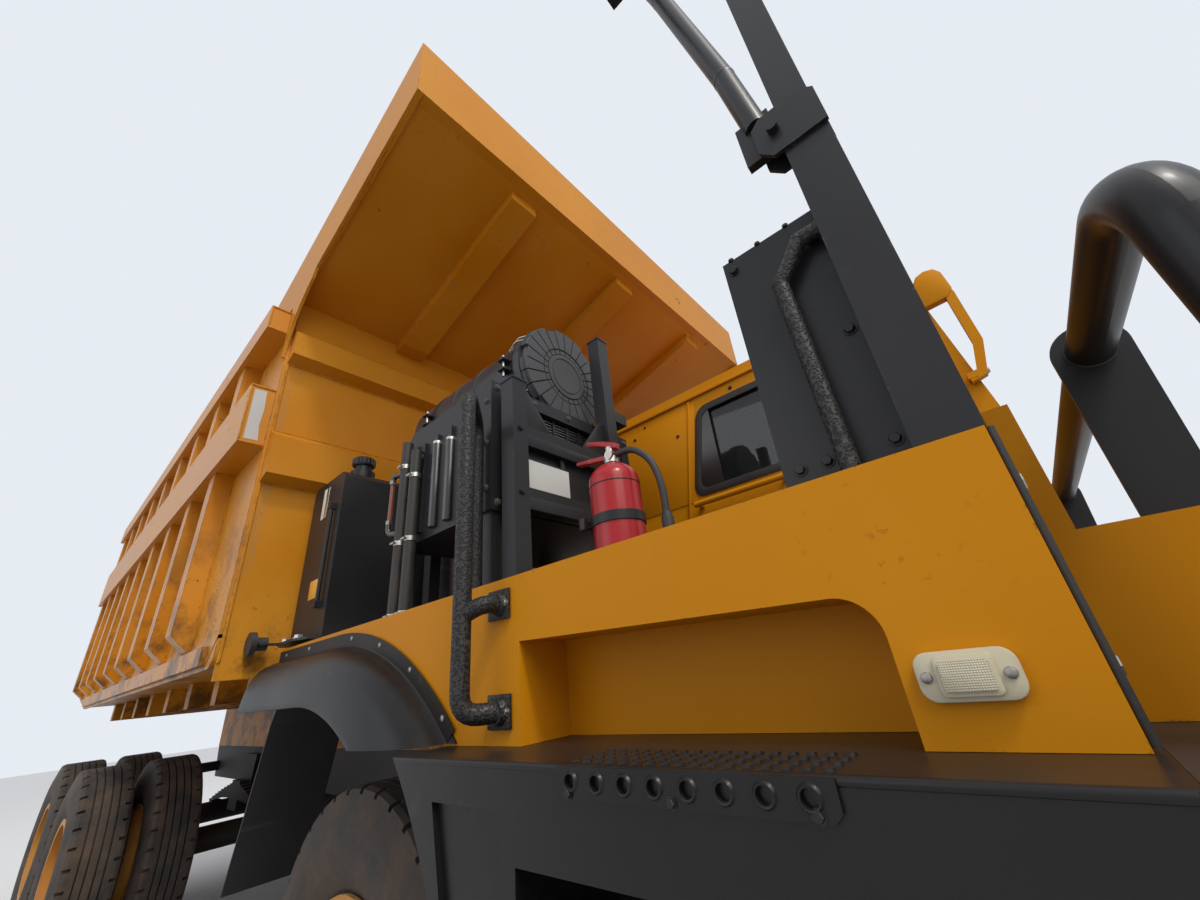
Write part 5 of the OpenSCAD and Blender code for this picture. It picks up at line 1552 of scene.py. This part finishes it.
@dataclass
class PanelTrim:
    """Trim on the side panels and wheel arches: the flare, rubber strips, the arch band and bolts.

    Attributes:
        finishes: The truck's finishes.
        face: Outer face of the side panel, from the truck's middle.
        arch_centre: Middle of the wheel arch, along and up.
        arch_r: Radius of the wheel arch.
        arch_rear: Place of the arch's straight rear end.
        sweep: Angle that the arch band covers ahead of the top.
        cut_z: Height of the flare's level front end.
    """

    finishes: Finishes
    face: float = 1.46
    arch_centre: Flat = (1.945, 0.6)
    arch_r: float = 1.03
    arch_rear: float = 1.360
    sweep: float = 44.0
    cut_z: float = 1.345

    def build(self) -> None:
        """Builds the flare, the band, the strips and the bolts on both sides."""
        self._flare()
        self._arch_band()
        self._edge_strip()
        self._panel_bolts()

    def _flare(self) -> None:
        """The bulged flare: a smooth section swept along the arch and cut level at its front end."""
        shape, r = Shape("flares_dressed").use(self.finishes.flare), self.arch_r
        outer = [(0.030, 0.0004), (0.030, 0.0052), (0.006, 0.0058), (0.001, 0.012), (-0.002, 0.030),
                 (-0.010, 0.052), (-0.024, 0.072), (-0.044, 0.089), (-0.068, 0.101), (-0.096, 0.109),
                 (-0.126, 0.115), (-0.152, 0.1185), (-0.166, 0.1195), (-0.171, 0.1175), (-0.172, 0.1135)]
        inner = [(-0.166, 0.1105), (-0.124, 0.107), (-0.070, 0.092), (-0.032, 0.068), (-0.014, 0.034),
                 (-0.010, 0.0004)]
        section = [(r + u, self.face + v) for u, v in outer + inner]
        middle, foot = self.arch_centre
        level, turns = self.cut_z - foot, 24
        rings = [[(x, -v, foot + u) for u, v in section]
                 for x in (self.arch_rear, self.arch_rear + 0.002, 1.45, 1.55, 1.65, 1.75, 1.85)]
        for i in range(turns + 1):
            ring = []
            for u, v in section:
                turn = math.acos(min(1.0, level / u)) * i / turns
                ring.append((middle + u * math.sin(turn), -v, foot + u * math.cos(turn)))
            rings.append(ring)
        shape.loft(rings)
        shape.mirrored()
        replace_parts(shape.done(Body.CHASSIS, "flare_plastic", smooth=50.0), "arch_flares")

    def _arch_band(self) -> None:
        """The flat dark band round the arch, with its row of bolts."""
        shape = Shape("arch_band").use(self.finishes.band)
        (x, z), rear, start = self.arch_centre, self.arch_rear, 90 - self.sweep
        lower, upper, y = self.arch_r + 0.006, self.arch_r + 0.046, -self.face - 0.0052
        outer = arc((x, z), upper, start, 90, 28) + [(rear, z + upper)]
        inner = arc((x, z), lower, start, 90, 28) + [(rear, z + lower)]
        shape.loft([[(xi, y, zi), (xo, y, zo), (xo, y - 0.0018, zo), (xi, y - 0.0018, zi)]
                    for (xo, zo), (xi, zi) in zip(outer, inner)])
        shape.use(self.finishes.bare_steel)
        middle = self.arch_r + 0.028
        spots = arc((x, z), middle, start + 3, 84, 3) + [(1.44 + 0.24 * i, z + middle) for i in range(2)]
        for x, z in spots:
            shape.lathe([(0.008, 0.0), (0.008, 0.001), (0.005, 0.003), (0, 0.0035)],
                        (x, y - 0.0018, z), RIGHT, 12)
        shape.mirrored()
        shape.done(Body.CHASSIS, "black_paint")

    def _edge_strip(self) -> None:
        """The rubber strip at the side panel's front edge, and the bead on the step housing's edge."""
        low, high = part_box("side_fascias")
        shape = Shape("edge_strips").use(self.finishes.hose)
        x, y = high.x + 0.004, -self.face + 0.008
        shape.tube([(x, y, low.z + 0.004), (x, y, high.z - 0.002)], 0.005, steps=10)
        shape.use(self.finishes.fairing)
        shape.tube([(2.675, -1.5965, 1.3345), (3.870, -1.5965, 1.3345)], 0.0062, steps=12)
        shape.mirrored()
        shape.done(Body.CHASSIS, "black_plastic")

    def _panel_bolts(self) -> None:
        """Bolts that hold the side panel at its front edge."""
        low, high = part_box("side_fascias")
        shape = Shape("panel_bolts").use(self.finishes.zinc)
        for z in (high.z - 0.075, low.z + 0.075):
            shape.bolt((high.x, -self.face + 0.03, z), FORWARD, 0.012)
        shape.mirrored()
        shape.done(Body.CHASSIS, "yellow_paint")


@dataclass
class CabTrim:
    """Window rubbers, door parts, wipers, body lines, a blank panel and mirror glasses on the cab.

    Attributes:
        finishes: The truck's finishes.
        inner: Place of the cab's inner side wall.
        outer: Place of the cab's outer side wall.
        rubber: Width of a window rubber.
    """

    finishes: Finishes
    inner: float = 0.05
    outer: float = 1.425
    rubber: float = 0.026

    def build(self) -> None:
        """Builds all trim of the cab."""
        self._window_rubbers()
        self._door_parts()
        self._wipers()
        self._seams()
        self._blank_panel()
        self._mirror_glasses()

    def _ring(self, shape: Shape, low: Flat, high: Flat, axis: Axis, start: float,
              end: float, lean: float = 0.0) -> None:
        """Adds one window rubber: a round-cornered ring that laps the opening's edge.

        Args:
            shape: The piece that takes the ring.
            low: Lower corner of the opening.
            high: Upper corner of the opening.
            axis: Axis that the window faces along.
            start: Place of the ring's foot along that axis.
            end: Place of the ring's crest along that axis.
            lean: How far the rear edge runs back on its way down, for each unit of height.
        """
        lap, lip = self.rubber, self.rubber * 0.5
        middle = (low[0] + high[0]) / 2
        outer = round_rect((low[0] - lap, low[1] - lap), (high[0] + lap, high[1] + lap), 0.07)
        inner = round_rect((low[0] + lip, low[1] + lip), (high[0] - lip, high[1] - lip), 0.05)
        place = (lambda u, v, w: (u, w, v)) if axis is Axis.Y else (lambda u, v, w: (w, u, v))
        lift = (end - start) * 0.6
        rings = []
        for (uo, vo), (ui, vi) in zip(outer, inner):
            if lean and uo < middle:
                uo, ui = uo + lean * (vo - high[1]), ui + lean * (vi - high[1])
            um, vm = (uo + ui) / 2, (vo + vi) / 2
            rings.append([place(ui, vi, start), place(ui, vi, start + lift), place(um, vm, end),
                          place(uo, vo, start + lift), place(uo, vo, start)])
        shape.loft(rings, closed=True)

    def _window_rubbers(self) -> None:
        """Rubbers of the fixed windows, and the dark edge behind the side window."""
        shape = Shape("window_rubbers").use(self.finishes.hose)
        z0, z1 = 2.31, 2.79
        self._ring(shape, (2.79, z0), (3.56, z1), Axis.Y, self.inner + 0.0005, self.inner - 0.012, 0.22)
        shape.use(self.finishes.gloss_black)
        shape.prism([(2.700, z0), (2.690, z0 + 0.012), (2.782, z1 - 0.012), (2.796, z1), (2.842, z1),
                     (2.842, z0)], Axis.Y, self.inner - 0.003, self.inner - 0.0002)
        shape.use(self.finishes.hose)
        self._ring(shape, (2.24, z0), (2.70, z1), Axis.Y, self.outer - 0.0005, self.outer + 0.012)
        self._ring(shape, (0.30, z0), (1.175, z1), Axis.X, 2.1095, 2.098)
        shape.done(Body.CHASSIS, "black_plastic")

    def _door_parts(self) -> None:
        """The door's window rubber, pull, lock and lower tread guard, which swing with it."""
        f, shape = self.finishes, Shape("door_trim").use(self.finishes.hose)
        self._ring(shape, (2.966, 2.25), (3.704, 2.77), Axis.Y, self.outer - 0.0005, self.outer + 0.010)
        shape.use(f.plastic).box((2.905, self.outer, 2.025), (3.06, self.outer + 0.010, 2.09), 0.004)
        shape.use(f.zinc).lathe([(0.012, 0.0), (0.012, 0.004), (0.004, 0.0045), (0.004, 0.002), (0, 0.002)],
                                (2.935, self.outer + 0.0005, 1.985), LEFT, 20)
        shape.use(f.plastic).plate((2.95, 1.75), (3.72, 1.86), 0.02, Axis.Y, self.outer - 0.0002,
                                   self.outer + 0.006, 0.002)
        shape.done(Body.DOOR, "black_plastic")

    def _wipers(self) -> None:
        """Two wiper arms with their blades on the windscreen."""
        f, shape = self.finishes, Shape("wipers")
        away = Vector((-0.030, -0.12, 0.22))
        for y in (0.42, 0.98):
            low, tip = Vector((4.036, y, 2.155)), Vector((4.0, y + 0.26, 2.50))
            shape.use(f.black).lathe([(0.02, 0), (0.02, 0.016), (0.012, 0.024), (0, 0.024)],
                                     low - Vector((0.008, 0, 0)), FORWARD, 16)
            shape.tube([low + Vector((0.01, 0, 0)), tip + Vector((0.012, 0, 0))], 0.006, steps=8)
            shape.use(f.hose).tube([tip - away, tip + away], 0.007, steps=8)
        shape.done(Body.CHASSIS, "black_paint")

    def _seams(self) -> None:
        """Raised body lines on the cab's walls, and the roof's rain gutter."""
        shape = Shape("cab_lines").use(self.finishes.panel_yellow)
        for z in (1.98, 2.14):
            shape.box((2.13, self.inner - 0.006, z), (3.95, self.inner + 0.001, z + 0.018), 0.003)
        shape.box((2.13, self.outer - 0.001, 2.14), (2.86, self.outer + 0.006, 2.158), 0.003)
        for y0, y1 in ((self.inner - 0.018, self.inner + 0.001), (self.outer - 0.001, self.outer + 0.018)):
            shape.box((2.17, y0, 2.885), (3.86, y1, 2.905), 0.003)
        for x in (2.4, 3.0, 3.6):
            shape.use(self.finishes.black).bolt((x, self.inner, 2.845), RIGHT, 0.009)
        shape.done(Body.CHASSIS, "yellow_paint")

    def _blank_panel(self) -> None:
        """The plain pressed panel behind the side window, and the head of the front corner bracket."""
        shape = Shape("blank_panel").use(self.finishes.panel_yellow)
        y = self.inner
        shape.prism([(2.185, 2.265), (2.655, 2.265), (2.765, 2.860), (2.185, 2.860)], Axis.Y, y - 0.004,
                    y - 0.0002, 0.0012)
        shape.prism([(2.592, 2.170), (2.604, 2.170), (2.739, 2.880), (2.727, 2.880)], Axis.Y, y - 0.011,
                    y - 0.0002, 0.003)
        for x, z in ((2.31, 2.79), (2.62, 2.69)):
            shape.use(self.finishes.black).lathe([(0.011, 0.0), (0.010, 0.003), (0, 0.003)],
                                                 (x, y - 0.004, z), RIGHT, 16)
        shape.use(self.finishes.panel_yellow)
        shape.prism([(3.946, 2.760), (3.946, 2.895), (3.966, 2.925), (4.000, 2.936), (4.036, 2.926),
                     (4.054, 2.895), (4.062, 2.800), (4.036, 2.765)], Axis.Y, y - 0.046, y - 0.002, 0.005)
        shape.done(Body.CHASSIS, "yellow_paint")

    def _mirror_glasses(self) -> None:
        """Silvered glasses of the two rear-view mirrors."""
        shape = Shape("mirror_glasses").use(self.finishes.mirror)
        low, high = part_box("cab_mirror")
        shape.plate((high.y - 0.165, 2.415), (high.y - 0.015, 2.835), 0.02, Axis.X, low.x - 0.004,
                    low.x - 0.0005)
        low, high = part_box("mirror_arm")
        shape.plate((low.y + 0.018, high.z - 0.345), (low.y + 0.182, high.z - 0.015), 0.02, Axis.X,
                    low.x + 0.002, low.x + 0.0075)
        shape.done(Body.CHASSIS, "chrome")


@dataclass
class WheelFittings:
    """Wheel nuts and hub caps of every wheel, and the front wheels' valves.

    Attributes:
        finishes: The truck's finishes.
        nuts: Nuts round a wheel.
        nut_circle: Radius of the nuts' circle.
        nut_r: Radius of one nut.
        front_track: Middle of a front wheel, from the truck's middle.
        rear_track: Middle of a pair of rear wheels, from the truck's middle.
    """

    finishes: Finishes
    nuts: int = 10
    nut_circle: float = 0.168
    nut_r: float = 0.019
    front_track: float = 1.195
    rear_track: float = 1.373

    def build(self) -> None:
        """Builds the fittings of the six wheel positions."""
        for side, way in (("right", -1), ("left", 1)):
            self._front(side, way)
            self._rear(f"mid_{side}", way)
            self._rear(f"rear_{side}", way)

    def _ring(self, centre: Vector, circle: float, count: int) -> list[Vector]:
        """Gives places at even turns round a wheel's centre."""
        return [centre + spoke * circle for spoke in spokes(Vector(FORWARD), Vector(UP), count)]

    def _nuts(self, shape: Shape, centre: Vector, way: int, circle: float) -> None:
        """Puts the ring of nuts with their studs on a disc.

        Args:
            shape: The piece that takes them.
            centre: Middle of the disc's face.
            way: Which side of the truck, 1 or -1.
            circle: Radius of the ring.
        """
        for spot in self._ring(centre, circle, self.nuts):
            shape.use(self.finishes.zinc).bolt(spot, (0, way, 0), self.nut_r)
            shape.use(self.finishes.bare_steel).lathe([(0.009, 0.01), (0.009, 0.034), (0, 0.034)], spot,
                                                      (0, way, 0), 10)

    def _front(self, side: str, way: int) -> None:
        """Builds the fittings of a front wheel.

        Args:
            side: The side's name.
            way: Which side of the truck, 1 or -1.
        """
        low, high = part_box(f"rim_front_{side}")
        f, centre = self.finishes, (low + high) / 2
        shape = Shape(f"front_wheel_fittings_{side}")
        disc = Vector((centre.x, way * (self.front_track + 0.074), centre.z))
        self._nuts(shape, disc, way, self.nut_circle)
        cap = Vector((centre.x, way * (self.front_track + 0.150), centre.z))
        shape.use(f.iron).lathe([(0.094, -0.004), (0.088, 0.003), (0.05, 0.010), (0.0, 0.012)], cap,
                                (0, way, 0), 32)
        shape.use(f.zinc)
        for spot in self._ring(cap + Vector((0, 0.004 * way, 0)), 0.07, 6):
            shape.bolt(spot, (0, way, 0), 0.010)
        shape.use(f.hose).tube([disc + Vector((0, 0, 0.25)), disc + Vector((0, 0.03 * way, 0.235)),
                                disc + Vector((0, 0.075 * way, 0.235))], 0.005, 0.02, 8)
        shape.done(f"wheel_front_{side}", "yellow_paint")

    def _rear(self, name: str, way: int) -> None:
        """Builds the fittings of a pair of rear wheels.

        Args:
            name: The wheel position's name.
            way: Which side of the truck, 1 or -1.
        """
        low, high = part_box(f"rims_{name}")
        f, centre = self.finishes, (low + high) / 2
        shape = Shape(f"wheel_fittings_{name}")
        self._nuts(shape, Vector((centre.x, way * (self.rear_track + 0.014), centre.z)), way,
                   self.nut_circle + 0.015)
        cap = Vector((centre.x, way * (self.rear_track + 0.20), centre.z))
        shape.use(f.wheel_yellow).lathe([(0.109, -0.004), (0.1, 0.008), (0.04, 0.012), (0.0, 0.012)], cap,
                                        (0, way, 0), 32)
        shape.use(f.zinc)
        for spot in self._ring(cap + Vector((0, 0.006 * way, 0)), 0.085, 8):
            shape.bolt(spot, (0, way, 0), 0.011)
        shape.done(f"wheels_{name}", "yellow_paint")


@dataclass
class BedFittings:
    """Weld beads, edge bars, corner plates and the side rails' ends on the tipping body.

    Attributes:
        finishes: The truck's finishes.
        side: Outer face of the body's side plate.
        front: Outer face of the body's front wall.
    """

    finishes: Finishes
    side: float = 1.66
    front: float = 1.165

    def build(self) -> None:
        """Builds the beads and small parts."""
        self._weld_beads()
        self._edge_plates()
        self._rail_ends()

    def _weld_beads(self) -> None:
        """Beads along the seams of the front wall, beams and ribs."""
        shape = Shape("weld_beads").use(self.finishes.body_yellow)
        x, y = self.front + 0.001, self.side - 0.02
        for z in (2.49, 2.79, 3.22, 3.46):
            shape.tube([(x, -y, z), (x, y, z)], 0.006, steps=6)
        for way in (-1, 1):
            shape.tube([(x, way * (y - 0.002), 1.66), (x, way * (y - 0.002), 3.6)], 0.007, steps=6)
        for i in range(9):
            rib = -3.865 + 0.56 * i
            for y in (-self.side, self.side):
                for x in (rib - 0.062, rib + 0.062):
                    shape.tube([(x, y, 1.76), (x, y, 2.68)], 0.005, steps=6)
        shape.done(Body.BED, "yellow_paint")

    def _rail_ends(self) -> None:
        """Raised rims and pale reflectors on the front ends of the side rails."""
        f, shape = self.finishes, Shape("rail_ends").use(self.finishes.body_yellow)
        x, y0, y1 = self.front - 0.010, self.side, self.side + 0.115
        for z0, z1 in ((2.69, 3.035), (3.42, 3.58)):
            shape.box((x - 0.002, y0 + 0.004, z0), (x + 0.006, y1, z0 + 0.009), 0.0015)
            shape.box((x - 0.002, y0 + 0.004, z1 - 0.009), (x + 0.006, y1, z1), 0.0015)
            shape.box((x - 0.002, y1 - 0.009, z0 + 0.009), (x + 0.006, y1, z1 - 0.009), 0.0015)
        shape.use(f.white_plate)
        shape.prism([(y0 + 0.030, 2.715), (y0 + 0.092, 2.712), (y0 + 0.094, 3.008), (y0 + 0.040, 3.012),
                     (y0 + 0.034, 2.90), (y0 + 0.039, 2.80)], Axis.X, x - 0.0005, x + 0.0015)
        shape.mirrored()
        shape.done(Body.BED, "yellow_paint")

    def _edge_plates(self) -> None:
        """Closing plates at the lower front corners, and wear bars along the sides' tops and the tail."""
        shape = Shape("edge_bars").use(self.finishes.side_yellow)
        corner = arc((self.front - 0.070, 1.710), 0.070, -90, 0, 6)
        corner += [(self.front, 1.775), (self.front - 0.130, 1.641)]
        for way in (-1, 1):
            shape.prism(corner, Axis.Y, *sorted((way * (self.side - 0.016), way * self.side)))
        for way in (-1, 1):
            y0, y1 = sorted((way * (self.side - 0.030), way * (self.side + 0.012)))
            shape.box((-4.03, y0, 3.580), (0.44, y1, 3.602), 0.004)
        shape.box((-4.165, -1.63, 1.786), (-4.135, 1.63, 1.806), 0.004)
        shape.done(Body.BED, "yellow_paint")


@dataclass
class FrontFittings:
    """Mesh behind the front panel's slots, fog lamps, plate holder, rail clamps and step grips.

    Attributes:
        finishes: The truck's finishes.
    """

    finishes: Finishes

    def build(self) -> None:
        """Builds the front's small parts."""
        f, shape = self.finishes, Shape("front_fittings").use(self.finishes.black)
        low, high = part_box("front_apron")
        x = high.x - 0.016
        for i in range(31):
            y = -0.93 + 0.062 * i
            shape.tube([(x, y, low.z + 0.04), (x, y, 1.54)], 0.003, steps=6)
        for z in (1.42, 1.46, 1.50):
            shape.tube([(x, -0.94, z), (x, 0.94, z)], 0.003, steps=6)
        for way in (-1, 1):
            at = (4.13, way * 1.08, 0.83)
            shape.use(f.black).lathe([(0.061, -0.01), (0.061, 0.012), (0.052, 0.014), (0.05, 0.004)], at,
                                     FORWARD, 32)
            shape.use(f.lamp_glass).lathe([(0.051, 0.002), (0.035, 0.009), (0, 0.012)], at, FORWARD, 32)
        shape.use(f.label).box((4.1655, -0.24, 0.70), (4.168, 0.24, 0.82), 0.0006)
        shape.use(f.black)
        for y in (-0.915, 0.6, 1.2):
            for edge in (-0.0055, 0.0055):
                shape.hoop([(0.0365, -0.003), (0.0405, -0.001), (0.0405, 0.001), (0.0365, 0.003)],
                           (4.105, y + edge, 1.96), LEFT, 32)
        shape.use(f.zinc)
        for x, z in ((4.030, 2.392), (4.020, 2.908)):
            shape.bolt((x, 0.028, z), FORWARD, 0.012)
        shape.use(f.bare_steel)
        for z in (0.684, 0.964):
            for way in (-1, 1):
                for k in range(3):
                    y0, y1 = sorted((way * (1.40 + 0.06 * k), way * (1.425 + 0.06 * k)))
                    shape.box((3.10, y0, z - 0.003), (3.68, y1, z + 0.006), 0.002)
        shape.done(Body.CHASSIS, "black_paint")


ASSEMBLIES: tuple[Any, ...] = (AirCleaner, Extinguisher, LampGlasses, PlatformFittings, PanelTrim, CabTrim,
                               WheelFittings, BedFittings, FrontFittings)


def main() -> None:
    """Builds the truck's looks around its frame."""
    logging.basicConfig(level=logging.INFO, format="%(name)s %(message)s")
    for leftover in list(bpy.data.objects):
        bpy.data.objects.remove(leftover)
    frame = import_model()
    finishes = Finishes()
    FrameNodes(finishes).dress(frame["nodes"])
    for assembly in ASSEMBLIES:
        assembly(finishes).build()
    Studio().build()


if __name__ == "__main__":
    main()
